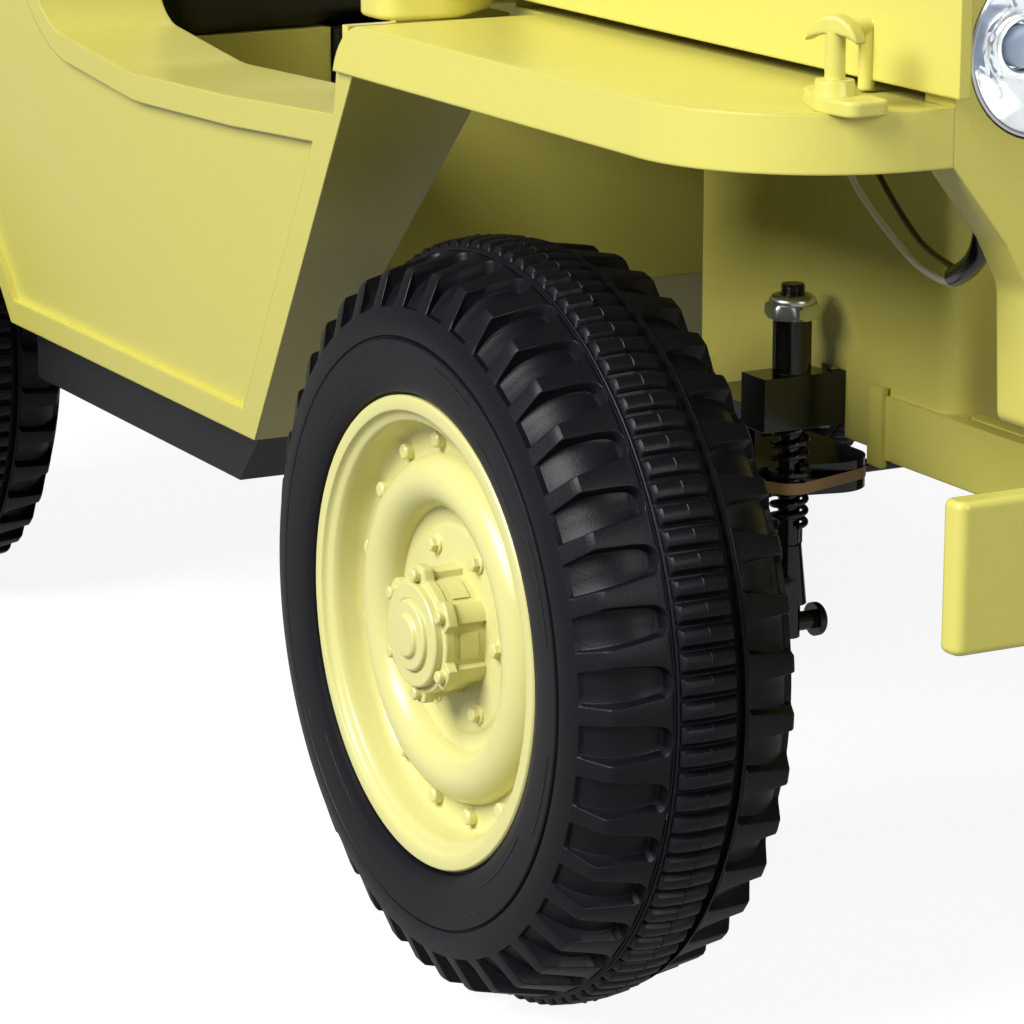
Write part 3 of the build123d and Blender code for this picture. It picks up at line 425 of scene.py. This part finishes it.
def tyre_shape():
    """Tread bars, ridges, lugs, shoulders and sidewalls of a road tyre."""
    ridge = [(129.5, 10.7), (131.75, 10.75), (131.7, 11.3), (131.5, 11.5), (130.7, 11.65), (130.7, 11.8),
             (131.1, 11.9), (131.2, 12.05), (130.9, 12.2), (CROWN_AT_TIP + 0.05, 12.25)]
    side_wall = [(FOOT_RADIUS, FOOT), (111.5, 38.7), (108.5, 39.4), (105.0, 39.9), (103.9, 39.8),
                 (103.4, 39.2), (103.0, 39.1), (102.7, 40.1), (102.2, 40.4), (101.0, 40.4), (95.0, 40.2),
                 (89.0, 39.6), (86.0, 38.9), (84.6, 38.0), (84.0, 36.6), (83.9, 35.4), (80.0, 34.5)]
    rings = merge(lathe(ridge, TYRE_SEGMENTS, closed=False), lathe(side_wall, TYRE_SEGMENTS, closed=False))
    return merge(rings, lug_band(0), inboard_half(merge(rings, lug_band(0.5))), bar_band())


def arc_mark(start, end, radius, out):
    """One raised arc on the sidewall between two angles in degrees."""
    points, faces = [], []
    section = ((radius - MARK_HALF, out - 0.6), (radius - MARK_HALF, out + 0.12),
               (radius + MARK_HALF, out + 0.3), (radius + MARK_HALF, out - 0.4))
    for k in range(MARK_STEPS + 1):
        turn = math.radians(start + (end - start) * k / MARK_STEPS)
        points += [(r * math.cos(turn), -o, r * math.sin(turn)) for r, o in section]
    for k in range(MARK_STEPS):
        for corner in range(4 * k, 4 * k + 3):
            faces.append((corner, corner + 1, corner + 5, corner + 4))
    return points, faces


def sidewall_marks():
    """Plain arcs moulded into the sidewall."""
    arcs = ((12, 34, OUTER_MARK), (38, 60, INNER_MARK), (64, 80, OUTER_MARK), (100, 118, OUTER_MARK),
            (122, 140, INNER_MARK), (196, 214, OUTER_MARK), (218, 238, INNER_MARK), (244, 262, OUTER_MARK),
            (282, 300, OUTER_MARK), (304, 326, INNER_MARK), (332, 350, OUTER_MARK))
    return merge(*[arc_mark(start, end, *mark) for start, end, mark in arcs])


# Wheels

WEB = 22.5
RING_MIDDLE = 52.25
RING_TUBE = 9.4
RING_STEPS = 16
RIM_SEGMENTS = 192
WEB_BOLTS = 16
WEB_BOLT_RING = 66.2
FLANGE_NUTS = 6
FLANGE_NUT_RING = 31.0
LOBES = 6
FIRST_LOBE = 30
LOBE_BOLT_RING = 21.2
PANEL_RADIUS = 20.9
PANEL_HALF = 13
PANEL_STEPS = 8


def rim_shape():
    """Bead lip, channel, web with bolts, half-round ring and flange disc with nuts."""
    ring = []
    for k in range(RING_STEPS + 1):
        turn = math.pi * k / RING_STEPS
        ring.append((RING_MIDDLE + RING_TUBE * math.cos(turn), WEB + RING_TUBE * math.sin(turn) * 1.04))
    profile = [(79, -38), (79, 33.5), (80, 34.6), (82.2, 34.8), (83, 35.4), (83, 37.2), (82.4, 37.9),
               (79.0, 38.2), (77.8, 37.8), (77.3, 36.4), (76.4, 35.6), (74.6, 35.3), (73.8, 34.6),
               (73.2, 32.0), (72.4, 27.0), (71.6, 24.0), (70.2, 22.8), (68.0, WEB), (63.0, WEB)]
    profile += ring
    profile += [(41.0, WEB - 0.6), (37.6, WEB - 0.9), (36.8, WEB - 0.5), (36.2, WEB - 0.1), (35.4, WEB),
                (24.0, WEB), (6.2, WEB), (6.2, -38), (12, -38), (14, 4), (60, 8), (72, -38)]
    shapes = [lathe(profile, RIM_SEGMENTS)]
    shapes += studs(WEB_BOLTS, WEB_BOLT_RING, WEB, 10, stud(2.9, 3.6, 20, 0.7))
    shapes += studs(FLANGE_NUTS, FLANGE_NUT_RING, WEB, 0, stud(3.6, 1.0, 24, 0.4))
    shapes += studs(FLANGE_NUTS, FLANGE_NUT_RING, WEB, 0, stud(2.7, 3.4, 6, 0.4))
    return merge(*shapes)


def lobed_outline(base, tip, half_angle, slope):
    """A round outline with flat-topped lobes, as (x, z) points."""
    outline = []
    lobe = ((-half_angle - slope, base), (-half_angle, tip), (-half_angle * 0.5, tip + 0.3), (0, tip + 0.4),
            (half_angle * 0.5, tip + 0.3), (half_angle, tip), (half_angle + slope, base))
    pitch = 360 / LOBES
    for k in range(LOBES):
        middle = FIRST_LOBE + k * pitch
        for offset, radius in lobe:
            turn = math.radians(middle + offset)
            outline.append((radius * math.cos(turn), radius * math.sin(turn)))
        rest = pitch - 2 * (half_angle + slope)
        for share in (0.2, 0.4, 0.6, 0.8):
            turn = math.radians(middle + half_angle + slope + rest * share)
            outline.append((base * math.cos(turn), base * math.sin(turn)))
    return outline


def stacked(outline, levels):
    """An outline swept along -Y through (outboard, scale) levels and closed at its end."""
    points = []
    for out, scale in levels:
        points += [(x * scale, -out, z * scale) for x, z in outline]
    count = len(outline)
    faces = ring_grid(len(levels), count)
    start = (len(levels) - 1) * count
    faces.append(tuple(start + k for k in range(count)))
    return points, faces


def hub_panel(middle):
    """A curved panel on the drum's side between two lobes."""
    half = math.radians(PANEL_HALF)
    points, faces = [], []
    for out in (25.5, 32.5):
        for step in range(PANEL_STEPS + 1):
            turn = middle - half + 2 * half * step / PANEL_STEPS
            points.append((PANEL_RADIUS * math.cos(turn), -out, PANEL_RADIUS * math.sin(turn)))
    for step in range(PANEL_STEPS):
        above = step + PANEL_STEPS + 1
        faces.append((step, step + 1, above + 1, above))
    return points, faces


def hub_shape():
    """Lobed drum with a panel between its lobes, a bolt on each lobe and stepped discs."""
    drum = stacked(lobed_outline(20.4, 22.6, 9, 1.5), [(WEB - 1, 1), (34.4, 1), (34.6, 0.98)])
    plate = stacked(lobed_outline(20.9, 24.2, 10.5, 5), [(34.2, 0.97), (34.5, 0.995), (35, 1), (37.5, 1),
                                                         (38, 0.985)])
    shapes = [drum, plate]
    shapes += studs(LOBES, LOBE_BOLT_RING, 38, FIRST_LOBE, stud(2.3, 2.6, 16, 0.5))
    discs = [(18.4, 37.5), (18.4, 40.4), (17.8, 41.0), (13.2, 41.0), (12.9, 40.7), (12.6, 41.0), (12.4, 42.0),
             (11.8, 42.5), (8.2, 42.5), (7.8, 42.8), (7.5, 43.5), (6.8, 44.0), (0.01, 44.1)]
    shapes.append(lathe(discs, 96, closed=False))
    shapes += [hub_panel(math.radians(360 / LOBES * k)) for k in range(LOBES)]
    return merge(*shapes)


def wheels():
    """Four road wheels."""
    tyre_mesh = mesh_piece("tyre", *tyre_shape(), rubber, 28)
    mark_mesh = mesh_piece("sidewall_marks", *sidewall_marks(), black, 40)
    rim_mesh = mesh_piece("rim", *rim_shape(), wheel_paint, 40)
    hub_mesh = mesh_piece("hub_cap", *hub_shape(), wheel_paint, 30)
    for end, x in (("front", FRONT_AXLE), ("rear", REAR_AXLE)):
        for side, sign in SIDES:
            at = (x, sign * HALF_TRACK, HUB_HEIGHT)
            turn = 0 if side == "right" else math.pi
            where = f"{end}_{side}"
            body = f"wheel_{where}"
            place(f"tyre_look_{where}", tyre_mesh, body, at, turn, [f"tyre_{where}"])
            place(f"marks_{where}", mark_mesh, body, at, turn)
            place(f"rim_look_{where}", rim_mesh, body, at, turn, [f"rim_{where}"])
            place(f"hub_look_{where}", hub_mesh, body, at, turn, [f"hub_cap_{where}"])


# Spare wheel

def spare_wheel():
    """The road tyre's shape at the spare's size, and bolts on its disc."""
    points, faces = tyre_shape()
    scale = SPARE_RADIUS / TYRE_RADIUS
    turned = [(y * SPARE_NARROWING, -x * scale, z * scale) for x, y, z in points]
    mesh = mesh_piece("spare_tyre", turned, faces, rubber, 28)
    place("spare_tyre_look", mesh, "root", SPARE_AT, 0, ["spare_tyre"])
    inner_pegs = studs(5, 21, 12, 90, stud(3.6, 5.0, 6, 0.6))
    outer_pegs = studs(16, 51, 4, 10, stud(2.6, 3.0, 20, 0.6))
    points, faces = merge(*inner_pegs, *outer_pegs)
    turned = [(y, -x, z) for x, y, z in points]
    mesh = mesh_piece("spare_bolts", turned, faces, zinc, 30)
    place("spare_bolts", mesh, "root", SPARE_AT)


# Front pivots

NUT_HALF_WIDTH = 9.0
NUT_SEGMENTS = 72
THREAD_TURNS = 5
THREAD_START = 8.2
THREAD_PITCH = 0.8


def nut_shape():
    """Hexagon nut with turned-off corners, and the rolled collar on top of it."""
    points = []
    levels = ((0, 9.0), (0.9, 10.5), (4.4, 10.5), (5.3, 9.1), (5.5, 8.6))
    for height, limit in levels:
        for k in range(NUT_SEGMENTS):
            turn = 2 * math.pi * k / NUT_SEGMENTS
            share = (turn + math.pi / 6) % (math.pi / 3) - math.pi / 6
            radius = min(NUT_HALF_WIDTH / math.cos(share), limit)
            points.append((radius * math.cos(turn), radius * math.sin(turn), height))
    collar = [(8.5, 5.5), (8.6, 5.9), (8.5, 6.9), (8.1, 7.6), (7.4, 8.2), (6.6, 8.6), (5.4, 8.7), (4.9, 8.4),
              (4.7, 7.6)]
    hexagon = points, turned_over(ring_grid(len(levels), NUT_SEGMENTS))
    return merge(hexagon, upright(collar, NUT_SEGMENTS))


def thread_shape():
    """The thread's turns on the pivot rod's end."""
    profile = []
    for k in range(THREAD_TURNS):
        foot = THREAD_START + k * THREAD_PITCH
        profile += [(4.02, foot), (4.4, foot + 0.4)]
    profile += [(4.05, 12.1), (3.9, 12.35), (0.01, 12.4)]
    return upright(profile, 48)


def pivots():
    """Lock nuts and thread ends on both pivot rods."""
    nut_mesh = mesh_piece("lock_nut", *nut_shape(), zinc, 25)
    thread_mesh = mesh_piece("thread_end", *thread_shape(), gloss_black, 50)
    for side, sign in SIDES:
        at = (FRONT_AXLE, sign * KINGPIN_Y, NUT_FOOT)
        body = f"knuckle_{side}"
        place(f"lock_nut_{side}", nut_mesh, body, at, math.radians(12), [f"pivot_nut_{side}"])
        place(f"thread_end_{side}", thread_mesh, body, at)


def hull(spots):
    """The convex outline round flat (x, y) points, counterclockwise."""
    ordered = sorted(set(spots))
    outline = []
    for run in (ordered, ordered[::-1]):
        start = len(outline)
        for spot in run:
            while len(outline) >= start + 2:
                (x0, y0), (x1, y1) = outline[-2:]
                if (x1 - x0) * (spot[1] - y0) - (y1 - y0) * (spot[0] - x0) > 0:
                    break
                outline.pop()
            outline.append(spot)
        outline.pop()
    return outline


def board_edge():
    """The tan middle layer that shows round the edge of both spring plates."""
    corners = [vertex.co / MM for vertex in frame["nodes"]["spring_plates"].data.vertices]
    shapes = []
    for sign in (-1, 1):
        outline = hull([(round(c.x, 2), round(c.y, 2)) for c in corners
                        if abs(c.z - PLATE_TOP) < 0.1 and sign * c.y > 0])
        middle_x = sum(x for x, y in outline) / len(outline)
        middle_y = sum(y for x, y in outline) / len(outline)
        points = []
        for height in (BOARD_LOW, BOARD_HIGH):
            for x, y in outline:
                out = math.hypot(x - middle_x, y - middle_y)
                grow = (out + 0.3) / out
                points.append((middle_x + (x - middle_x) * grow, middle_y + (y - middle_y) * grow, height))
        shapes.append((points, ring_grid(2, len(outline))))
    mesh = mesh_piece("board_edge", *merge(*shapes), tan_board, 30)
    place("board_edge", mesh, "root")


# Lamp wiring. Routes run from the wheel's centre: ahead, inboard and up.

ROUTES = {
    "lamp_wire_white": [(5, 131.5, 172.5), (16, 117, 167), (45, 106, 154), (85, 96, 142), (122, 86, 135.5),
                        (148.8, 77, 138.5)],
    "lamp_wire_black": [(15, 131.5, 181.6), (27, 118, 175), (55, 108, 161), (90, 98, 148), (120, 88, 142.5),
                        (148.6, 79, 143)],
    "lamp_lead": [(149.6, 78, 140.8), (174, 71, 149), (183, 66, 172), (183, 65, 209)],
}
LEADS = {
    "lamp_wire_white": (2.4, 162.2, white_sleeve, "wire_white"),
    "lamp_wire_black": (2.2, 152.3, gloss_black, "wire_black"),
    "lamp_lead": (7.0, 87.2, gloss_black, "wire_black"),
}


def lead(kind, side, sign):
    """One lead as a smooth tube along the CAD route's points."""
    diameter, length, look, slot = LEADS[kind]
    curve = bpy.data.curves.new(f"{kind}_line_{side}", "CURVE")
    curve.dimensions = "3D"
    curve.bevel_depth = diameter / 2 * MM
    curve.bevel_resolution = 5
    curve.resolution_u = 16
    curve.use_fill_caps = True
    line = curve.splines.new("NURBS")
    line.points.add(len(ROUTES[kind]) - 1)
    for point, (ahead, inboard, up) in zip(line.points, ROUTES[kind]):
        point.co = ((FRONT_AXLE + ahead) * MM, sign * (HALF_TRACK - inboard) * MM, (HUB_HEIGHT + up) * MM, 1)
    line.order_u = 3
    line.use_endpoint_u = True
    curve.materials.append(look)
    piece = bpy.data.objects.new(f"{kind}_tube_{side}", curve)
    bpy.context.scene.collection.objects.link(piece)
    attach(piece, "root")
    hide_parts(f"{kind}_{side}")


def leads():
    """Three leads on each side."""
    for side, sign in SIDES:
        for kind in ROUTES:
            lead(kind, side, sign)


# Headlamps

FACETS = 30
FACET_LEAN = 0.45


def reflector_shape():
    """A bowl of flat facets that lean this way and that, like a cut-glass reflector."""
    rings = [(25.6, -3.1), (22.8, -4.9), (19.6, -7.0), (16.2, -9.3), (12.8, -11.4), (9.6, -13.3),
             (7.6, -14.4)]
    points = []
    for row, (radius, depth) in enumerate(rings):
        for k in range(FACETS):
            turn = 2 * math.pi * (k + 0.5 * (row % 2)) / FACETS
            wave = FACET_LEAN * random.uniform(-1, 1) if 0 < row < len(rings) - 1 else 0
            points.append((depth + wave, radius * math.cos(turn), radius * math.sin(turn)))
    return points, turned_over(ring_grid(len(rings), FACETS))


def headlamps():
    """Faceted reflector, bulb with its chrome collar, and the rim round each lens."""
    facets = mesh_piece("reflector", *reflector_shape(), chrome, 1)
    collar = forward([(-14.2, 9.8), (-12.2, 9.6), (-11.6, 9.0), (-11.4, 8.2), (-11.8, 7.6), (-13.4, 7.2)], 48)
    bulb = forward([(-13.5, 6.6), (-10, 6.4), (-7.6, 5.6), (-6.2, 4.2), (-5.5, 2.2), (-5.3, 0.05)], 48)
    ring = forward([(-3.0, 26.3), (-1.2, 26.6), (-0.4, 26.3), (-0.1, 25.6), (-0.4, 24.9), (-1.4, 24.7)], 96)
    collar_mesh = mesh_piece("lamp_collar", *collar, chrome, 40)
    bulb_mesh = mesh_piece("lamp_bulb", *bulb, bulb_glass, 40)
    ring_mesh = mesh_piece("lamp_ring", *ring, chrome, 40)
    for side, sign in SIDES:
        at = (LAMP_FACE, sign * LAMP_Y, LAMP_Z)
        for kind, mesh, slot in (("facets", facets, "reflector"), ("collar", collar_mesh, "reflector"),
                                 ("bulb", bulb_mesh, "clear"), ("ring", ring_mesh, "reflector")):
            place(f"lamp_{kind}_{side}", mesh, "root", at)


# Dashboard, tail and small fasteners

DIAL_MARKS = 11
DIAL_MARK_OUT = 13.2
RIB_HALF_LENGTH = 62
RIB_SQUEEZE = 0.78


def dial_shapes():
    """A dial's bezel, and its marks and needle."""
    bezel = forward([(0, 17.2), (-2.0, 17.0), (-2.6, 16.2), (-2.6, 15.2), (-1.2, 14.6)], 64)
    points, faces = [], []
    for k in range(DIAL_MARKS):
        turn = math.radians(-30 + 24 * k)
        along_y, along_z = math.cos(turn), math.sin(turn)
        start = len(points)
        inner = 9.8 if k % 5 == 0 else 11.2
        for radius, half in ((inner, -0.35), (DIAL_MARK_OUT, -0.35), (DIAL_MARK_OUT, 0.35), (inner, 0.35)):
            points.append((-0.15, radius * along_y - half * along_z, radius * along_z + half * along_y))
        faces.append((start, start + 1, start + 2, start + 3))
    start = len(points)
    points += [(-0.3, -0.6, -2.0), (-0.3, 0.6, -2.0), (-0.3, -7.2, 7.8)]
    faces.append((start, start + 1, start + 2))
    return bezel, (points, faces)


def dashboard():
    """Two dials on the instrument board."""
    bezel, marks = dial_shapes()
    bezel_mesh = mesh_piece("dial_bezel", *bezel, black, 40)
    marks_mesh = mesh_piece("dial_marks", *marks, dial_white, 40)
    for side, sign in SIDES:
        at = (DASH_FACE, sign * DIAL_Y, DIAL_Z)
        place(f"dial_bezel_{side}", bezel_mesh, "root", at)
        place(f"dial_marks_{side}", marks_mesh, "root", at)


def screws():
    """Domed screw heads on the tail panel."""
    shape = forward([(-0.3, 3.4), (0.5, 3.3), (1.1, 2.8), (1.5, 1.9), (1.65, 0.9), (1.68, 0.05)], 32)
    mesh = mesh_piece("screw", *shape, black, 40)
    for k, (y, z) in enumerate(((-240, 360), (-240, 200), (240, 360), (240, 250), (-105, 335), (-35, 335))):
        place(f"tail_screw_{k}", mesh, "root", (TAIL, y, z), math.pi)


def can_ribs():
    """The pressed cross on the can's rear face."""
    points, faces = [], []
    for sign in (-1, 1):
        direction = Vector((0, sign * 0.5, 0.866))
        beside = Vector((0, 0.866, -sign * 0.5))
        start = len(points)
        for along in (-RIB_HALF_LENGTH, RIB_HALF_LENGTH):
            for out, half in ((0.3, -5), (-1.6, -3.2), (-1.6, 3.2), (0.3, 5)):
                spot = direction * along + beside * half
                points.append((out, spot.y * RIB_SQUEEZE, spot.z))
        faces += [(start + k, start + k + 1, start + k + 5, start + k + 4) for k in range(3)]
        faces += [(start, start + 3, start + 2, start + 1), (start + 4, start + 5, start + 6, start + 7)]
    mesh = mesh_piece("can_ribs", points, faces, body_paint, 30)
    place("can_ribs", mesh, "root", (TAIL - CAN_DEPTH, CAN_Y, CAN_Z))


def tail_lamp_rings():
    """A moulded ring and rib pattern on each tail lamp."""
    shape = merge(forward([(0.2, 11.2), (-12.2, 11.1), (-12.9, 10.4), (-12.9, 9.4), (-12.0, 9.0)], 64),
                  forward([(-12.0, 7.2), (-12.7, 6.8), (-12.7, 6.2), (-12.0, 5.8)], 64),
                  forward([(-12.0, 3.6), (-12.7, 3.2), (-12.7, 2.6), (-12.0, 2.2)], 64))
    mesh = mesh_piece("tail_lamp_rings", *shape, red, 40)
    for side, sign in SIDES:
        place(f"tail_lamp_rings_{side}", mesh, "root", (TAIL, sign * TAIL_LAMP_Y, TAIL_LAMP_Z))


# Seats, in metres

PAD_VOXEL = 0.005
PAD_SHRINK = 0.0025
PAD_PRESSURE = 4
PAD_CAP = 0.006
PAD_RISE = 0.0045
PAD_LIFT = 0.0002
CLOTH_STEPS = 20
SEAT_INNER_Y = 0.030
SEAT_WIDTH = 0.184
SEAT_MARGIN = 0.06
SEAM_DEPTH = 0.0035
CUSHION_SEAMS = (0.3, 0.5, 0.7)
CUSHION_SEAM_WIDTH = 0.012
CUSHION_SIDE = 0.018
BACK_SEAMS = (0.34, 0.54, 0.74)
BACK_SEAM_WIDTH = 0.014
BACK_SIDE = 0.02


def applied(piece):
    """The piece's mesh with its modifiers applied."""
    graph = bpy.context.evaluated_depsgraph_get()
    return bpy.data.meshes.new_from_object(piece.evaluated_get(graph))


def remeshed(node):
    """A fine even mesh of a CAD node, a little smaller than it."""
    piece = bpy.data.objects.new("pad_source", frame["nodes"][node].data.copy())
    bpy.context.scene.collection.objects.link(piece)
    remesh = piece.modifiers.new("remesh", "REMESH")
    remesh.mode = "VOXEL"
    remesh.voxel_size = PAD_VOXEL
    mesh = applied(piece)
    normals = [vertex.normal.copy() for vertex in mesh.vertices]
    for vertex, normal in zip(mesh.vertices, normals):
        vertex.co -= normal * PAD_SHRINK
    bpy.data.objects.remove(piece)
    return mesh


def inflated(mesh):
    """The mesh swollen by a short cloth simulation, no point moving more than the cap."""
    piece = bpy.data.objects.new("pad_cloth", mesh)
    scene = bpy.context.scene
    scene.collection.objects.link(piece)
    start = [vertex.co.copy() for vertex in mesh.vertices]
    cloth = piece.modifiers.new("cloth", "CLOTH")
    cloth.settings.use_pressure = True
    cloth.settings.uniform_pressure_force = PAD_PRESSURE
    cloth.settings.tension_stiffness = 15
    cloth.settings.compression_stiffness = 15
    cloth.settings.bending_stiffness = 0.5
    cloth.settings.effector_weights.gravity = 0
    for step in range(1, CLOTH_STEPS + 1):
        scene.frame_set(step)
    result = applied(piece)
    bpy.data.objects.remove(piece)
    scene.frame_set(1)
    for vertex, before in zip(result.vertices, start):
        move = vertex.co - before
        if move.length > PAD_CAP:
            vertex.co = before + move * (PAD_CAP / move.length)
    return result


def seam_pull(value, seams, width):
    """How far a sewn line pulls the cover in at this place."""
    nearest = min(abs(value - seam) for seam in seams)
    return SEAM_DEPTH * math.exp(-(nearest / width) ** 2)


def away_from_sides(point):
    """Whether a point lies between the side borders of its seat."""
    share = (abs(point.y) - SEAT_INNER_Y) / SEAT_WIDTH
    return min(share, 1 - share) > SEAT_MARGIN


def sew_cushion(point, low, high):
    """Seams across a cushion's top, which stays near its solid's height."""
    share = (point.x - low[0]) / (high[0] - low[0])
    if away_from_sides(point) and point.z > low[2] + CUSHION_SIDE:
        point.z -= seam_pull(share, CUSHION_SEAMS, CUSHION_SEAM_WIDTH)
    point.z = max(point.z, low[2] + PAD_LIFT)
    point.z = min(point.z, high[2] + PAD_RISE)


def sew_back(point, low, high):
    """Seams across a seat back's front."""
    share = (point.z - low[2]) / (high[2] - low[2])
    if away_from_sides(point) and point.x > low[0] + BACK_SIDE:
        point.x -= seam_pull(share, BACK_SEAMS, BACK_SEAM_WIDTH)
    point.z = max(point.z, low[2] + PAD_LIFT)


def seats():
    """Padded cushions and backs with sewn channels."""
    for node, name, sew in (("seat_cushions", "seat_cushion_pads", sew_cushion),
                            ("seat_backs", "seat_back_pads", sew_back)):
        mesh = remeshed(node)
        mesh = inflated(mesh)
        low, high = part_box(node)
        for vertex in mesh.vertices:
            sew(vertex.co, low, high)
        mesh.materials.clear()
        mesh.materials.append(seat_cover)
        mesh.shade_smooth()
        piece = bpy.data.objects.new(name, mesh)
        bpy.context.scene.collection.objects.link(piece)
        fine = piece.modifiers.new("fine", "SUBSURF")
        fine.levels = 1
        fine.render_levels = 1
        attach(piece, "root")
        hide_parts(node)


# Light, camera and backdrop

FLOOR_HALF = 20
CAMERA_AT = (1513.8, -887.2, 517.1)
CAMERA_AZIMUTH = 61.8
CAMERA_ELEVATION = 14.3
CAMERA_ROLL = 0.08
CAMERA_LENS = 140.6


def light(name, at, target, size, power):
    """A soft square lamp that points at a target."""
    data = bpy.data.lights.new(name, "AREA")
    data.shape = "SQUARE"
    data.size = size
    data.energy = power
    lamp = bpy.data.objects.new(name, data)
    lamp.location = at
    lamp.rotation_euler = (Vector(target) - Vector(at)).to_track_quat("-Z", "Y").to_euler()
    bpy.context.scene.collection.objects.link(lamp)


def seen_strength(tree, shown, mirrored, hidden):
    """A strength for what the camera and clear pieces see, for reflections, and for diffuse light."""
    path = tree.nodes.new("ShaderNodeLightPath")
    total = None
    for ray, value in (("Is Camera Ray", shown), ("Is Transmission Ray", shown), ("Is Glossy Ray", mirrored)):
        step = tree.nodes.new("ShaderNodeMath")
        step.operation = "MULTIPLY_ADD"
        step.inputs[1].default_value = value - hidden
        step.inputs[2].default_value = hidden
        tree.links.new(path.outputs[ray], step.inputs[0])
        if total:
            tree.links.new(total, step.inputs[2])
        total = step.outputs["Value"]
    return total


def floor_material():
    """Near-white floor that keeps a pale shadow."""
    mat, shader = material("floor")
    shader.inputs["Base Color"].default_value = (0.20, 0.20, 0.20, 1)
    shader.inputs["Roughness"].default_value = 0.9
    shader.inputs["Specular IOR Level"].default_value = 0
    shader.inputs["Emission Color"].default_value = (1, 1, 1, 1)
    strength = seen_strength(mat.node_tree, shown=0.9, mirrored=0.3, hidden=0.0)
    mat.node_tree.links.new(strength, shader.inputs["Emission Strength"])
    return mat


def stage():
    """White floor and surroundings, and the studio lamps."""
    scene = bpy.context.scene
    mesh = bpy.data.meshes.new("floor")
    corners = [(-FLOOR_HALF, -FLOOR_HALF, 0), (FLOOR_HALF, -FLOOR_HALF, 0),
               (FLOOR_HALF, FLOOR_HALF, 0), (-FLOOR_HALF, FLOOR_HALF, 0)]
    mesh.from_pydata(corners, [], [(0, 1, 2, 3)])
    mesh.materials.append(floor_material())
    floor = bpy.data.objects.new("floor", mesh)
    scene.collection.objects.link(floor)
    world = bpy.data.worlds.new("studio")
    world.use_nodes = True
    background = world.node_tree.nodes["Background"]
    background.inputs["Color"].default_value = (1, 1, 1, 1)
    strength = seen_strength(world.node_tree, shown=1.0, mirrored=0.22, hidden=0.11)
    world.node_tree.links.new(strength, background.inputs["Strength"])
    scene.world = world
    light("key", at=(0.7, -2.8, 2.2), target=(0.2, -0.2, 0.25), size=1.8, power=172)
    light("front", at=(2.9, 0.3, 1.2), target=(0.4, 0, 0.25), size=1.2, power=32)
    light("rear", at=(-2.6, 1.8, 1.8), target=(-0.2, 0, 0.2), size=1.6, power=24)
    scene.view_settings.view_transform = "Standard"


def camera():
    """The photo's viewpoint: low, close and to the front right."""
    data = bpy.data.cameras.new("camera")
    data.sensor_width = 36
    data.lens = CAMERA_LENS
    data.clip_start = 0.05
    cam = bpy.data.objects.new("camera", data)
    azimuth = math.radians(CAMERA_AZIMUTH)
    elevation = math.radians(CAMERA_ELEVATION)
    ahead = Vector((-math.sin(azimuth) * math.cos(elevation), math.cos(azimuth) * math.cos(elevation),
                    -math.sin(elevation)))
    right = Vector((math.cos(azimuth), math.sin(azimuth), 0))
    up = right.cross(ahead)
    placing = Matrix((right, up, -ahead)).transposed().to_4x4()
    placing = placing @ Matrix.Rotation(math.radians(CAMERA_ROLL), 4, "Z")
    placing.translation = Vector(CAMERA_AT) * MM
    cam.matrix_world = placing
    bpy.context.scene.collection.objects.link(cam)
    bpy.context.scene.camera = cam


dress_frame()
wheels()
spare_wheel()
pivots()
board_edge()
leads()
headlamps()
dashboard()
screws()
can_ribs()
tail_lamp_rings()
seats()
stage()
camera()
